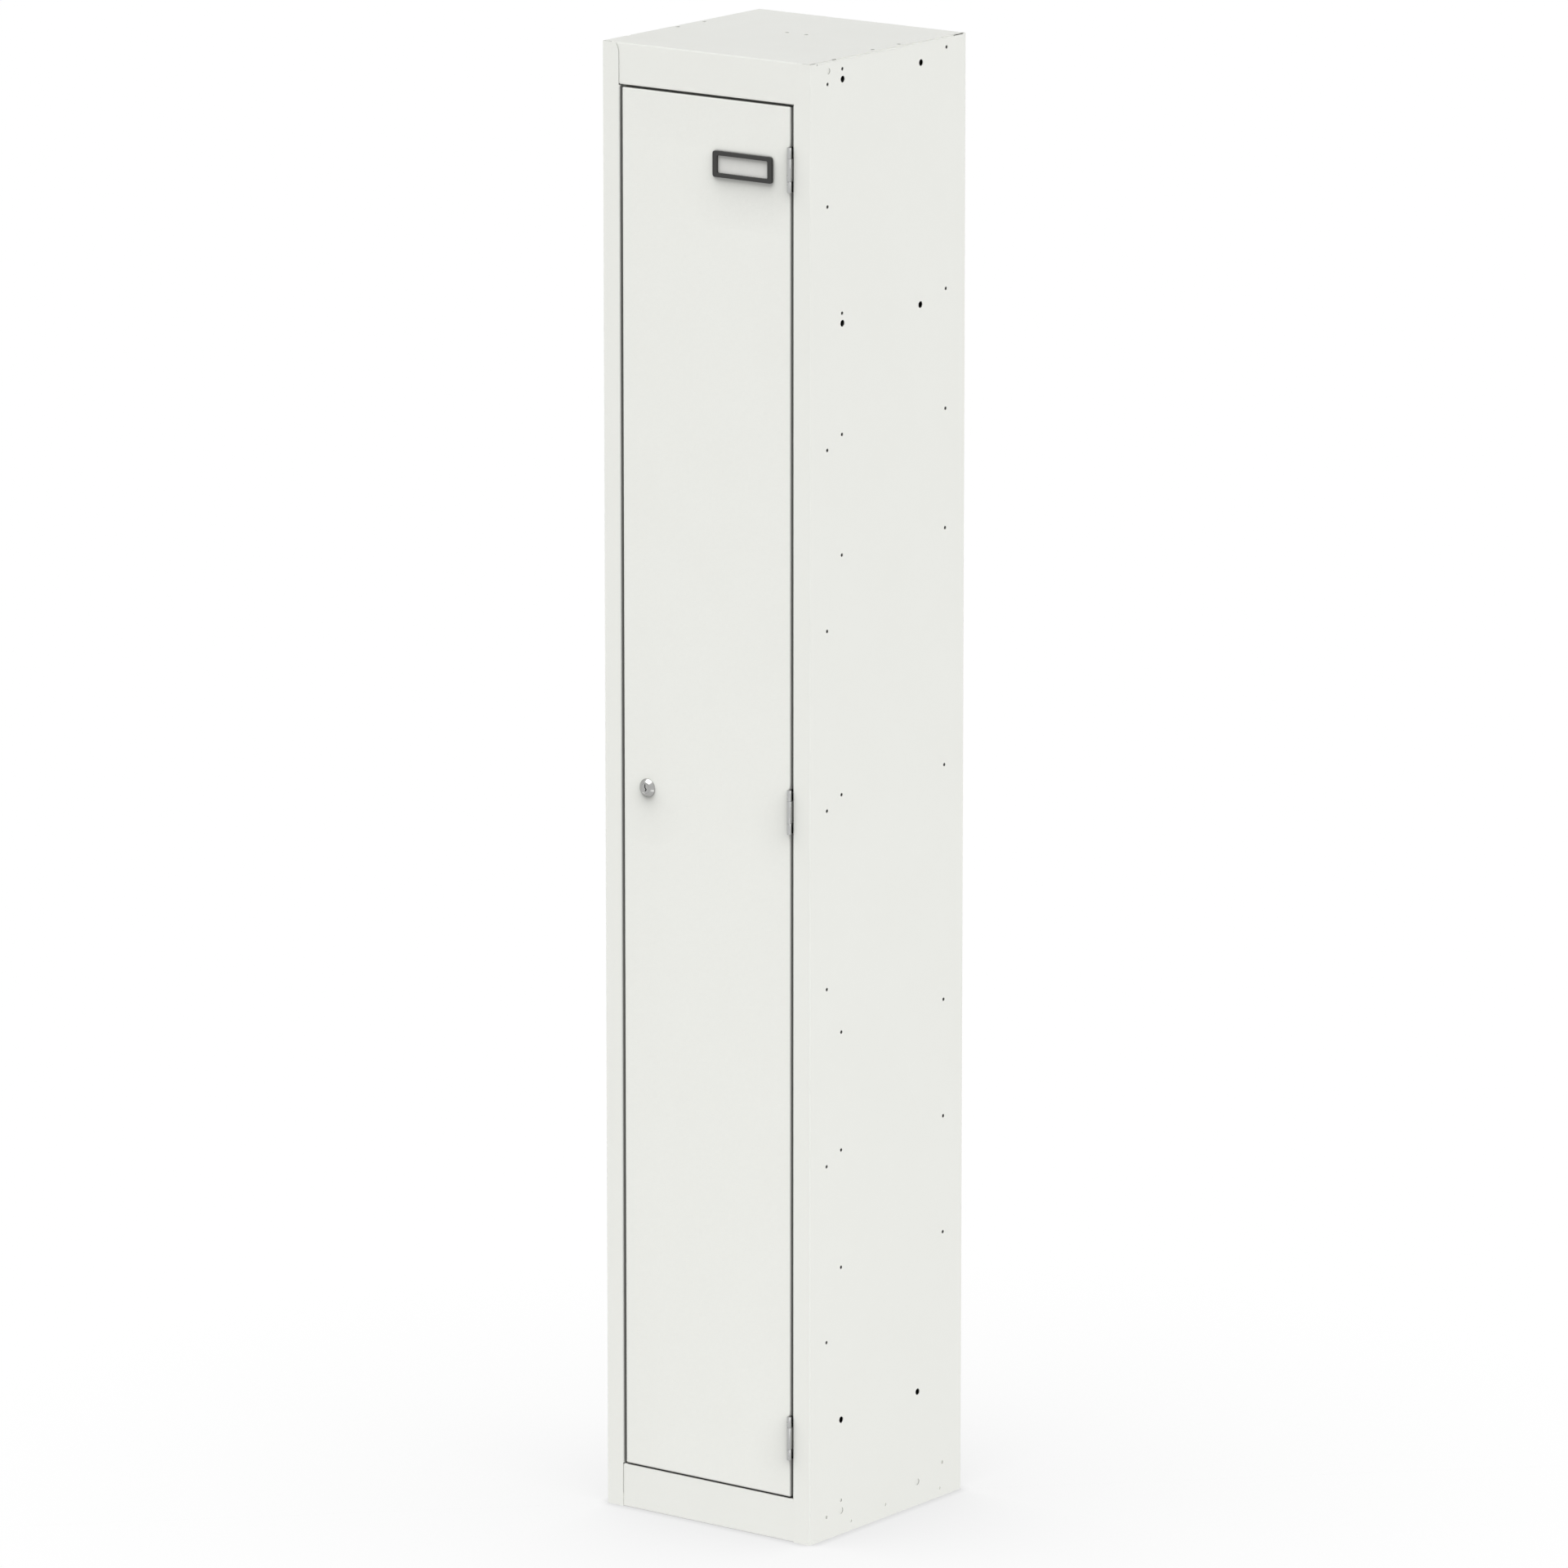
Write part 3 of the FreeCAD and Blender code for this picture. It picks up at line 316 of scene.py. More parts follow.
def weld_dimples(tree):
    """Height of the spot-weld dimples, in a row down each rear flange."""
    x, y, z = separate(tree, object_place(tree))
    across = add_math(tree, "SUBTRACT", add_math(tree, "ABSOLUTE", x), WELD_LINE)
    along = add_math(tree, "SUBTRACT", add_math(tree, "MODULO", z, WELD_PITCH), WELD_PITCH / 2)
    distance = distance_from_line(tree, across, along)
    dimple = map_range(tree, distance, WELD_FLAT_RADIUS, WELD_RADIUS, -WELD_DEPTH, 0.0)
    on_rear_flange = add_math(tree, "GREATER_THAN", y, cad_box[1][1] - REAR_FLANGE_DEPTH)
    return add_math(tree, "MULTIPLY", dimple, on_rear_flange)


def coat_material(name, gap_shade_range, gap_shade_extra, ledge_shade):
    """Off-white powder coat, with shade painted into its colour in the gaps of the front and under what
    stands out from the door and stiles.
    """
    material, tree, shader = new_material(name)
    powder = place_group(tree, baked_powder)
    full_coat = blend_colours(tree, powder["Cloud"], COAT_COLOUR, COAT_SHADE)
    ledge_shadowed_coat = paint_ledge_shadow(tree, full_coat, ledge_shade)
    colour = blend_colours(tree, gap_shade_mask(tree, gap_shade_range, gap_shade_extra), painted_gap_shade(tree), ledge_shadowed_coat)
    height = add_math(tree, "ADD", powder["Height"], weld_dimples(tree))
    dress(tree, shader, colour, powder["Roughness"], height)
    return material


def give_finish(material, names):
    """Puts one finish on pieces of the frame."""
    for name in names:
        nodes[name].data.materials.clear()
        nodes[name].data.materials.append(material)


baked_powder = baked_powder_group()
ledge_shadow = ledge_shadow_group()
give_finish(coat_material("powder_coat_panels", PANEL_GAP_SHADE_RANGE, JAMB_GAP_SHADE_EXTRA, STILE_LEDGE_SHADE), PANELS)
give_finish(coat_material("powder_coat_door", DOOR_GAP_SHADE_RANGE, DOOR_GAP_SHADE_EXTRA, LEDGE_SHADE), ("door_panel",))


# Hinges
# Each is two leaves of 1.25 mm strip steel, rolled round a 3 mm pin. The frame leaf is welded to the jamb and
# the door leaf behind the door's face. They are masked when the locker is sprayed, so the steel stays bare.
STRIP = 0.00125
STRIP_EDGE = 0.00014
ROLL_TURN = math.radians(298)
ROLL_STEPS = 44
FRAME_KNUCKLE_HALF = 0.0133
DOOR_KNUCKLE_START = 0.0135
FRAME_PLATE_SETBACK = 0.0065
FRONTWARD = -0.9  # a face whose normal has less than this along Y looks to the front
SHARP = math.radians(40)
HAIR = 0.000002  # edges shorter than this are taken out
HINGE_COLOUR = (0.52, 0.525, 0.52, 1)
HINGE_SHADE = (0.40, 0.405, 0.40, 1)
HINGE_ROUGHNESS = 0.3
PIN_COLOUR = (0.60, 0.60, 0.60, 1)
PIN_ROUGHNESS = 0.25
LINE_STRETCH = 0.02
# Shade painted into the frame leaf just behind the pin
PIN_SHADE_COLOUR = (0.36, 0.365, 0.355, 1)
PIN_SHADE_DEPTH = 0.009
PIN_SHADE_SIDE = 0.0035
PIN_SHADE_FADE = 0.0006
PIN_SHADE_DEPTH_FADE = 4 * PIN_SHADE_FADE
HINGE_PLACES = ("upper", "middle", "lower")

joint_places = {joint["name"]: Vector(joint["pos_m"]) for joint in frame["joints"]}
hinge_line = joint_places["door_swing"]


def corners(name):
    """Lowest and highest corner of a piece of the frame."""
    low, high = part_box(name)
    return Vector(low), Vector(high)


def only(kind, items):
    """The faces, edges or points among what an operator gives back."""
    return [item for item in items if isinstance(item, kind)]


def block(low, high, shape=None):
    """Block between two corners, in a shape of its own or in one that is given."""
    shape = bmesh.new() if shape is None else shape
    size = Matrix.Diagonal((*(high - low), 1.0))
    bmesh.ops.create_cube(shape, size=1.0, matrix=Matrix.Translation((low + high) / 2) @ size)
    return shape


def cut(shape, place, direction, remove=False, behind=-math.inf):
    """Cuts a shape along a plane, behind a depth. Where asked, takes off the far side and closes the cut."""
    geom = [point for point in shape.verts if point.co.y > behind]
    for part in (*shape.edges, *shape.faces):
        if all(point.co.y > behind for point in part.verts):
            geom.append(part)
    made = bmesh.ops.bisect_plane(shape, geom=geom, plane_co=place, plane_no=direction, clear_outer=remove)
    if remove:
        bmesh.ops.holes_fill(shape, edges=only(bmesh.types.BMEdge, made["geom_cut"]), sides=0)


def whole_faces(faces):
    """Faces with their edges and points."""
    edges = {edge for face in faces for edge in face.edges}
    points = {point for face in faces for point in face.verts}
    return [*points, *edges, *faces]


def extend(shape, faces, step):
    """Pushes faces out by a step, and gives back the faces at the new end."""
    grown = bmesh.ops.extrude_face_region(shape, geom=whole_faces(faces))["geom"]
    bmesh.ops.translate(shape, vec=step, verts=only(bmesh.types.BMVert, grown))
    return only(bmesh.types.BMFace, grown)


def soften(shape, width, segments=2, angle=SHARP, chosen=lambda edge: True):
    """Rounds the chosen sharp edges."""
    sharp = [edge for edge in shape.edges if edge.calc_face_angle(0.0) > angle and chosen(edge)]
    bmesh.ops.bevel(
        shape, geom=sharp, offset=width, offset_type="OFFSET", segments=segments, profile=0.5,
        affect="EDGES", material=-1, clamp_overlap=True,
    )


def roll_knuckle(plate, strip_left, low, high, turn):
    """Draws a plate's front edge out to the hinge line between two heights, and rolls it round the pin."""
    ends = []
    for face in plate.faces:
        middle = face.calc_center_median()
        if face.normal.y < FRONTWARD and middle.x > strip_left and low < middle.z < high:
            ends.append(face)
    reach = hinge_line.y - ends[0].calc_center_median().y
    ends = extend(plate, ends, (0, reach, 0))
    bmesh.ops.spin(
        plate, geom=whole_faces(ends), cent=hinge_line, axis=(0, 0, 1), angle=turn, steps=ROLL_STEPS
    )


def frame_leaf(name):
    """Plate on the jamb, with one knuckle between the door's two."""
    low, high = corners(name)
    middle = (low.z + high.z) / 2
    strip_left = high.x - STRIP
    plate = block(Vector((strip_left, door_front + FRAME_PLATE_SETBACK, low.z)), high)
    knuckle = (middle - FRAME_KNUCKLE_HALF, middle + FRAME_KNUCKLE_HALF)
    for height in knuckle:
        cut(plate, (0, 0, height), (0, 0, 1))
    roll_knuckle(plate, strip_left, *knuckle, -ROLL_TURN)
    soften(plate, STRIP_EDGE)
    return plate


def door_leaf(name):
    """Plate behind the door's face, with a knuckle at each end."""
    low, high = corners(name)
    middle = (low.z + high.z) / 2
    strip_left = hinge_line.x - (hinge_line.y - low.y)
    plate_high = Vector((strip_left + STRIP, high.y, high.z))
    plate = block(Vector((low.x, high.y - STRIP, low.z)), plate_high)
    cut(plate, (strip_left, 0, 0), (1, 0, 0))
    inner_ends = (middle - DOOR_KNUCKLE_START, middle + DOOR_KNUCKLE_START)
    for height in inner_ends:
        cut(plate, (0, 0, height), (0, 0, 1))
    roll_knuckle(plate, strip_left, low.z, inner_ends[0], ROLL_TURN)
    roll_knuckle(plate, strip_left, inner_ends[1], high.z, ROLL_TURN)
    soften(plate, STRIP_EDGE)
    return plate


def add_piece(shape, name, material, body, node):
    """Makes a finished shape the piece that stands for a node of the frame."""
    bmesh.ops.dissolve_degenerate(shape, dist=HAIR, edges=shape.edges[:])
    bmesh.ops.recalc_face_normals(shape, faces=shape.faces[:])
    mesh = bpy.data.meshes.new(name)
    shape.to_mesh(mesh)
    shape.free()
    mesh.shade_smooth()
    mesh.set_sharp_from_angle(angle=SHARP)
    mesh.materials.append(material)
    piece = bpy.data.objects.new(name, mesh)
    bpy.context.scene.collection.objects.link(piece)
    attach(piece, body)
    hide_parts(node)


def drawn_lines_group():
    """Fine lines that run along Z: a mask, roughness and height in metres."""
    inputs = {
        "Line spacing": 0.0002,
        "Line depth": 0.0000012,
        "Cloud size": 1 / 300,
        "Mean roughness": HINGE_ROUGHNESS,
        "Roughness swing": 0.2,
    }
    tree, given, end = new_group("drawn_lines", inputs, ("Lines", "Roughness", "Height"))
    place = object_place(tree)
    stretch = {"Vector": place, "Scale": (1.0, 1.0, LINE_STRETCH)}
    stretched = add_node(tree, "ShaderNodeMapping", stretch).outputs["Vector"]
    lines = noise(tree, stretched, given["Line spacing"], detail=3.0, roughness=0.6)
    cloud = noise(tree, place, given["Cloud size"], detail=3.0)
    results = {
        "Lines": lines,
        "Roughness": around(tree, given["Mean roughness"], cloud, given["Roughness swing"]),
        "Height": add_math(tree, "MULTIPLY", lines, given["Line depth"]),
    }
    return close_group(tree, end, results)


def lay_over(material, mask, colour):
    """Lays another colour over a finish along a mask."""
    tree = material.node_tree
    base = tree.nodes["Principled BSDF"].inputs["Base Color"]
    tree.links.new(blend_colours(tree, mask, base.links[0].from_socket, colour), base)


def shade_behind_pin(material):
    """Paints shade into the steel just behind the pin, where the knuckle and the jamb keep light off it."""
    tree = material.node_tree
    place = separate(tree, object_place(tree))
    depth = add_math(tree, "SUBTRACT", place["Y"], hinge_line.y)
    side = add_math(tree, "ABSOLUTE", add_math(tree, "SUBTRACT", place["X"], hinge_line.x))
    behind = map_range(tree, depth, 0.0, PIN_SHADE_FADE)
    near = map_range(tree, depth, PIN_SHADE_DEPTH, PIN_SHADE_DEPTH + PIN_SHADE_DEPTH_FADE, 1.0, 0.0)
    beside = map_range(tree, side, PIN_SHADE_SIDE, PIN_SHADE_SIDE + PIN_SHADE_FADE, 1.0, 0.0)
    pin_shade_mask = add_math(tree, "MULTIPLY", add_math(tree, "MULTIPLY", behind, near), beside)
    lay_over(material, pin_shade_mask, PIN_SHADE_COLOUR)


def drawn_steel(name, colour, shade, roughness):
    """Bare steel with drawing lines."""
    material, tree, shader = new_material(name)
    lines = place_group(tree, drawn_lines, {"Mean roughness": roughness})
    drawn_colour = blend_colours(tree, lines["Lines"], colour, shade)
    dress(tree, shader, drawn_colour, lines["Roughness"], lines["Height"], metallic=1.0)
    return material


drawn_lines = drawn_lines_group()
door_leaf_steel = drawn_steel("door_leaf_steel", HINGE_COLOUR, HINGE_SHADE, HINGE_ROUGHNESS)
frame_leaf_steel = drawn_steel("frame_leaf_steel", HINGE_COLOUR, HINGE_SHADE, HINGE_ROUGHNESS)
shade_behind_pin(frame_leaf_steel)
pin_steel = drawn_steel("drawn_pin_steel", PIN_COLOUR, HINGE_COLOUR, PIN_ROUGHNESS)
for hinge_place in HINGE_PLACES:
    give_finish(pin_steel, (hinge_place + "_hinge_pin",))
    leaf = hinge_place + "_hinge_frame_leaf"
    add_piece(frame_leaf(leaf), leaf + "_rolled", frame_leaf_steel, "carcass", leaf)
    leaf = hinge_place + "_hinge_door_leaf"
    add_piece(door_leaf(leaf), leaf + "_rolled", door_leaf_steel, "door", leaf)


# Coat hook and its rivets
# A double hook cast in zinc alloy, with a plate under the hat shelf, a stem and two prongs that end in balls.
# Two steel rivets hold it. All are zinc-plated, which gives a faint bluish cloudiness.
HOOK_PLATE_HALF = (0.010, 0.030)
HOOK_PLATE_THICK = 0.002
HOOK_PLATE_CORNER = 0.006
HOOK_CORNER_SEGMENTS = 6
HOOK_STEM_HALF = (0.007, 0.0025)
HOOK_PRONG_RADIUS = 0.003
HOOK_CURVE_RADIUS = 0.016
HOOK_PRONG_RISE = 0.012
HOOK_TIP_RADIUS = 0.0046
HOOK_PRONG_STEPS = 24
HOOK_TIP_STEPS = (32, 16)
HOOK_GRAIN = 0.0005
HOOK_SMOOTHING = 6
ZINC_COLOUR = (0.60, 0.605, 0.615, 1)
ZINC_SHADE = (0.48, 0.49, 0.51, 1)
ZINC_GRAIN = {"Mean roughness": 0.34, "Grain depth": 0.000002, "Cloud size": 0.005}


def hook_prong(shape, start, way):
    """Round prong that leaves the stem downwards, curves up and ends in a ball."""
    curve = start + Vector((0, way * HOOK_CURVE_RADIUS, 0))
    made = bmesh.ops.create_circle(
        shape, cap_ends=True, segments=HOOK_PRONG_STEPS, radius=HOOK_PRONG_RADIUS,
        matrix=Matrix.Translation(start),
    )
    caps = {face for point in made["verts"] for face in point.link_faces}
    bent = bmesh.ops.spin(
        shape, geom=whole_faces(list(caps)), cent=curve, axis=(1, 0, 0), angle=way * math.pi,
        steps=HOOK_PRONG_STEPS,
    )
    extend(shape, only(bmesh.types.BMFace, bent["geom_last"]), (0, 0, HOOK_PRONG_RISE))
    tip = start + Vector((0, 2 * way * HOOK_CURVE_RADIUS, HOOK_PRONG_RISE))
    around_tip, along_tip = HOOK_TIP_STEPS
    bmesh.ops.create_uvsphere(
        shape, u_segments=around_tip, v_segments=along_tip, radius=HOOK_TIP_RADIUS,
        matrix=Matrix.Translation(tip),
    )


def cast_in_one(shape):
    """Runs overlapping solids together into one casting with soft inner corners."""
    mesh = bpy.data.meshes.new("casting")
    shape.to_mesh(mesh)
    shape.free()
    pattern = bpy.data.objects.new("casting", mesh)
    bpy.context.scene.collection.objects.link(pattern)
    merge = pattern.modifiers.new("merge", "REMESH")
    merge.mode = "VOXEL"
    merge.voxel_size = HOOK_GRAIN
    smooth = pattern.modifiers.new("smooth", "SMOOTH")
    smooth.iterations = HOOK_SMOOTHING
    casting = bmesh.new()
    casting.from_object(pattern, bpy.context.evaluated_depsgraph_get())
    bpy.data.objects.remove(pattern)
    return casting


def coat_hook():
    """Plate, stem and two prongs, cast in one."""
    low, high = corners("coat_hook")
    middle = Vector((0, (low.y + high.y) / 2, high.z))
    prong_start = Vector((0, middle.y, low.z + HOOK_CURVE_RADIUS + HOOK_PRONG_RADIUS))
    plate_reach = Vector((*HOOK_PLATE_HALF, 0))
    shape = block(middle - plate_reach - Vector((0, 0, HOOK_PLATE_THICK)), middle + plate_reach)
    soften(
        shape, HOOK_PLATE_CORNER, HOOK_CORNER_SEGMENTS,
        chosen=lambda edge: edge.verts[0].co.xy == edge.verts[1].co.xy,
    )
    stem_reach = Vector((*HOOK_STEM_HALF, 0))
    block(prong_start - stem_reach - Vector((0, 0, HOOK_PRONG_RADIUS)), middle + stem_reach, shape)
    for way in (-1, 1):
        hook_prong(shape, prong_start, way)
    bmesh.ops.recalc_face_normals(shape, faces=shape.faces[:])
    return cast_in_one(shape)


def fine_grain_group():
    """Fine grain of a cast, plated or moulded surface: a cloud mask, roughness and height in metres."""
    inputs = {
        "Grain size": 0.0004,
        "Grain depth": 0.000008,
        "Cloud size": 0.008,
        "Mean roughness": 0.5,
        "Roughness swing": 0.15,
    }
    tree, given, end = new_group("fine_grain", inputs, ("Cloud", "Roughness", "Height"))
    place = object_place(tree)
    grain = noise(tree, place, given["Grain size"], detail=3.0)
    cloud = noise(tree, place, given["Cloud size"], detail=4.0)
    results = {
        "Cloud": cloud,
        "Roughness": around(tree, given["Mean roughness"], cloud, given["Roughness swing"]),
        "Height": add_math(tree, "MULTIPLY", grain, given["Grain depth"]),
    }
    return close_group(tree, end, results)


def grained_material(name, colour, cloud_colour, values, metallic=0.0):
    """Finish with a fine grain and a cloudy colour."""
    material, tree, shader = new_material(name)
    grain = place_group(tree, fine_grain, values)
    cloudy_colour = blend_colours(tree, grain["Cloud"], colour, cloud_colour)
    dress(tree, shader, cloudy_colour, grain["Roughness"], grain["Height"], metallic)
    return material


fine_grain = fine_grain_group()
zinc_plate = grained_material("zinc_plate", ZINC_COLOUR, ZINC_SHADE, ZINC_GRAIN, metallic=1.0)
add_piece(coat_hook(), "coat_hook_casting", zinc_plate, "carcass", "coat_hook")
give_finish(zinc_plate, ("hook_rivets",))


# Door buffers
# Black rubber studs pushed through the stop on the lock side, so that the door closes quietly.
# They are moulded, with a dull bloom on the surface.
RUBBER_COLOUR = (0.022, 0.022, 0.022, 1)
RUBBER_BLOOM = (0.05, 0.05, 0.048, 1)
buffer_rubber = grained_material("buffer_rubber", RUBBER_COLOUR, RUBBER_BLOOM, {"Mean roughness": 0.7})
give_finish(buffer_rubber, ("door_buffers",))


# Card frame and card
# A charcoal plastic bezel, moulded with a spark-eroded grain, clipped through the door's face by two pegs.
# It holds a plain uncoated card.
BEZEL_COLOUR = (0.016, 0.016, 0.0145, 1)
BEZEL_BLOOM = (0.024, 0.024, 0.022, 1)
CARD_COLOUR = (0.79, 0.79, 0.76, 1)
CARD_FIBRE = (0.75, 0.75, 0.72, 1)
CARD_LEDGE_SHADE = 0.8
bezel_plastic = grained_material("bezel_plastic", BEZEL_COLOUR, BEZEL_BLOOM, {"Mean roughness": 0.48})
give_finish(bezel_plastic, ("card_frame",))


def card_material():
    """Uncoated card, with shadow painted into its colour under the bezel's bars."""
    values = {"Mean roughness": 0.85, "Grain size": 0.0003}
    material = grained_material("card_paper", CARD_COLOUR, CARD_FIBRE, values)
    tree = material.node_tree
    open_card = place_group(tree, ledge_shadow, {"Shade": CARD_LEDGE_SHADE})["Open"]
    lay_over(material, add_math(tree, "SUBTRACT", 1.0, open_card), BLACK)
    return material


give_finish(card_material(), ("name_card",))


# Lock housing and plug
# A die-cast zinc housing with a conical head and a threaded barrel, turned and nickel-plated. Two flats along
# the barrel keep it from turning in the door. The plug with the keyway turns in its bore.
LOCK_BORE = 0.00605
LOCK_BORE_EDGE = 0.0002
LOCK_FACE_RADIUS = 0.0075
LOCK_RIM = 0.0006
LOCK_HEAD_EDGE = 0.00028
LOCK_EDGE_SEGMENTS = 3
LOCK_EDGE_ANGLE = math.radians(25)
LOCK_RELIEF_RADIUS = 0.0078
LOCK_RELIEF_LENGTH = 0.0015
LOCK_BARREL_RADIUS = 0.0093
LOCK_HALF_FLAT = 0.008
THREAD_PITCH = 0.001
THREAD_DEPTH = 0.0005
TURNED_STEPS = 96
NICKEL_COLOUR = (0.46, 0.46, 0.45, 1)
NICKEL_SHADE = (0.34, 0.34, 0.33, 1)
# Dark shade painted into the keyway, from just behind the plug's face
KEYWAY_SHADE_COLOUR = (0.03, 0.03, 0.028, 1)
KEYWAY_SHADE_START = 0.00012
KEYWAY_SHADE_FULL = 3 * KEYWAY_SHADE_START

lock_line = joint_places["lock_turn"]


def turned(profile):
    """Ring turned about the lock's line, from a closed row of points by radius and depth."""
    shape = bmesh.new()
    points = [shape.verts.new((lock_line.x + radius, depth, lock_line.z)) for radius, depth in profile]
    edges = [shape.edges.new(pair) for pair in zip(points, points[1:] + points[:1])]
    bmesh.ops.spin(
        shape, geom=points + edges, cent=lock_line, axis=(0, 1, 0), angle=2 * math.pi, steps=TURNED_STEPS,
        use_merge=True,
    )
    bmesh.ops.recalc_face_normals(shape, faces=shape.faces[:])
    return shape


def lock_housing():
    """Head and threaded barrel, turned in one, then cut to two flats."""
    low, high = corners("lock_housing")
    head_radius = (high.x - low.x) / 2
    seat = lock_line.y
    thread_start = seat + LOCK_RELIEF_LENGTH
    root_radius = LOCK_BARREL_RADIUS - THREAD_DEPTH
    profile = [
        (LOCK_BORE, low.y + LOCK_BORE_EDGE),
        (LOCK_BORE + LOCK_BORE_EDGE, low.y),
        (LOCK_FACE_RADIUS, low.y),
        (head_radius, seat - LOCK_RIM),
        (head_radius, seat),
        (LOCK_RELIEF_RADIUS, seat),
        (LOCK_RELIEF_RADIUS, thread_start),
    ]
    for turn in range(round((high.y - thread_start) / THREAD_PITCH)):
        root = thread_start + turn * THREAD_PITCH
        profile.append((root_radius, root))
        profile.append((LOCK_BARREL_RADIUS, root + THREAD_PITCH / 2))
    profile.append((root_radius, high.y))
    profile.append((LOCK_BORE, high.y))
    shape = turned(profile)
    head_end = seat - LOCK_BORE_EDGE
    soften(
        shape, LOCK_HEAD_EDGE, LOCK_EDGE_SEGMENTS, LOCK_EDGE_ANGLE,
        chosen=lambda edge: edge.verts[0].co.y < head_end,
    )
    for side in (-1, 1):
        flat = lock_line + Vector((side * LOCK_HALF_FLAT, 0, 0))
        cut(shape, flat, (side, 0, 0), remove=True, behind=seat + LOCK_RELIEF_LENGTH / 2)
    return shape


def turned_rings_group():
    """Fine rings about the Y line of a place: a mask, roughness and height in metres."""
    inputs = {
        "Place": (0.0, 0.0, 0.0),
        "Ring spacing": 0.00025,
        "Ring depth": 0.0000012,
        "Cloud size": 1 / 250,
        "Mean roughness": 0.22,
        "Roughness swing": 0.12,
    }
    tree, given, end = new_group("turned_rings", inputs, ("Rings", "Roughness", "Height"))
    x, depth, z = separate(tree, given["Place"])
    radius = distance_from_line(tree, x, z)
    section = add_node(tree, "ShaderNodeCombineXYZ", {"X": radius, "Y": depth}).outputs["Vector"]
    rings = noise(tree, section, given["Ring spacing"], detail=3.0, roughness=0.6)
    cloud = noise(tree, given["Place"], given["Cloud size"], detail=3.0)
    results = {
        "Rings": rings,
        "Roughness": around(tree, given["Mean roughness"], cloud, given["Roughness swing"]),
        "Height": add_math(tree, "MULTIPLY", rings, given["Ring depth"]),
    }
    return close_group(tree, end, results)


def turned_nickel(name):
    """Nickel plate with turning rings about the lock's line."""
    material, tree, shader = new_material(name)
    centred = {"Vector": object_place(tree), "Location": -lock_line}
    place = add_node(tree, "ShaderNodeMapping", centred).outputs["Vector"]
    rings = place_group(tree, turned_rings, {"Place": place})
    colour = blend_colours(tree, rings["Rings"], NICKEL_COLOUR, NICKEL_SHADE)
    dress(tree, shader, colour, rings["Roughness"], rings["Height"], metallic=1.0)
    return material


def plug_material():
    """Nickel on the plug's face, with dark shade painted into the keyway behind it."""
    material = turned_nickel("plug_nickel")
    tree = material.node_tree
    plug_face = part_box("lock_plug")[0][1]
    depth = separate(tree, object_place(tree))["Y"]
    keyway_shade = map_range(tree, depth, plug_face + KEYWAY_SHADE_START, plug_face + KEYWAY_SHADE_FULL)
    lay_over(material, keyway_shade, KEYWAY_SHADE_COLOUR)
    return material


turned_rings = turned_rings_group()
nickel = turned_nickel("nickel_plate")
add_piece(lock_housing(), "lock_housing_turned", nickel, "door", "lock_housing")
give_finish(plug_material(), ("lock_plug",))


# Lock nut, cam and cam screw
# A chamfered hexagon nut draws the housing up against the door. The cam is a flat steel pressing on the
# plug's square, held by a slotted screw. All three are zinc-plated steel.
NUT_SIDES = 6
NUT_HALF_FLATS = 0.0125
NUT_HOLE = 0.00935
NUT_HOLE_CHAMFER = 0.0004
NUT_CHAMFER_START = 0.0121
NUT_CHAMFER_DEPTH = 0.0011


def lock_nut():
    """Blank turned with a chamfer at each end, then cut to six flats."""
    low, high = corners("lock_nut")
    corner_radius = (high.x - low.x) / 2
    profile = [
        (NUT_HOLE, low.y + NUT_HOLE_CHAMFER),
        (NUT_HOLE + NUT_HOLE_CHAMFER, low.y),
        (NUT_CHAMFER_START, low.y),
        (corner_radius, low.y + NUT_CHAMFER_DEPTH),
        (corner_radius, high.y - NUT_CHAMFER_DEPTH),
        (NUT_CHAMFER_START, high.y),
        (NUT_HOLE + NUT_HOLE_CHAMFER, high.y),
        (NUT_HOLE, high.y - NUT_HOLE_CHAMFER),
    ]
    shape = turned(profile)
    for side in range(NUT_SIDES):
        angle = math.radians((side + 0.5) * 360 / NUT_SIDES)
        across = Vector((math.cos(angle), 0, math.sin(angle)))
        cut(shape, lock_line + across * NUT_HALF_FLATS, across, remove=True)
    return shape


add_piece(lock_nut(), "lock_nut_chamfered", zinc_plate, "door", "lock_nut")
give_finish(zinc_plate, ("lock_cam", "cam_screw"))


# Floor
# A plain white studio floor. Seen by the camera or in a reflection it is white, with a soft shadow round the
# locker's foot and a thin dark line where the locker stands on it, both painted into its white by the share
# of open sky, over a faint real shadow.
FLOOR_SIZE = 200.0
FLOOR_COLOUR = (0.05, 0.05, 0.05, 1)
FLOOR_GLOW = 0.96
FLOOR_SHADOW_COLOUR = (0.04, 0.04, 0.04, 1)
FLOOR_WHITE = 0.968
FOOT_SHADOW_REACH = 1.0
FOOT_SHADOW = 0.30
CONTACT_REACH = 0.014
CONTACT_SHADOW = 0.3
FLOOR_SAMPLES = 8


def seen_directly(tree):
    """One where a ray comes from the camera, a reflection or through glass, zero elsewhere."""
    path = tree.nodes.new("ShaderNodeLightPath").outputs
    glossy = add_math(tree, "MAXIMUM", path["Is Glossy Ray"], path["Is Transmission Ray"])
    return add_math(tree, "MAXIMUM", path["Is Camera Ray"], glossy)


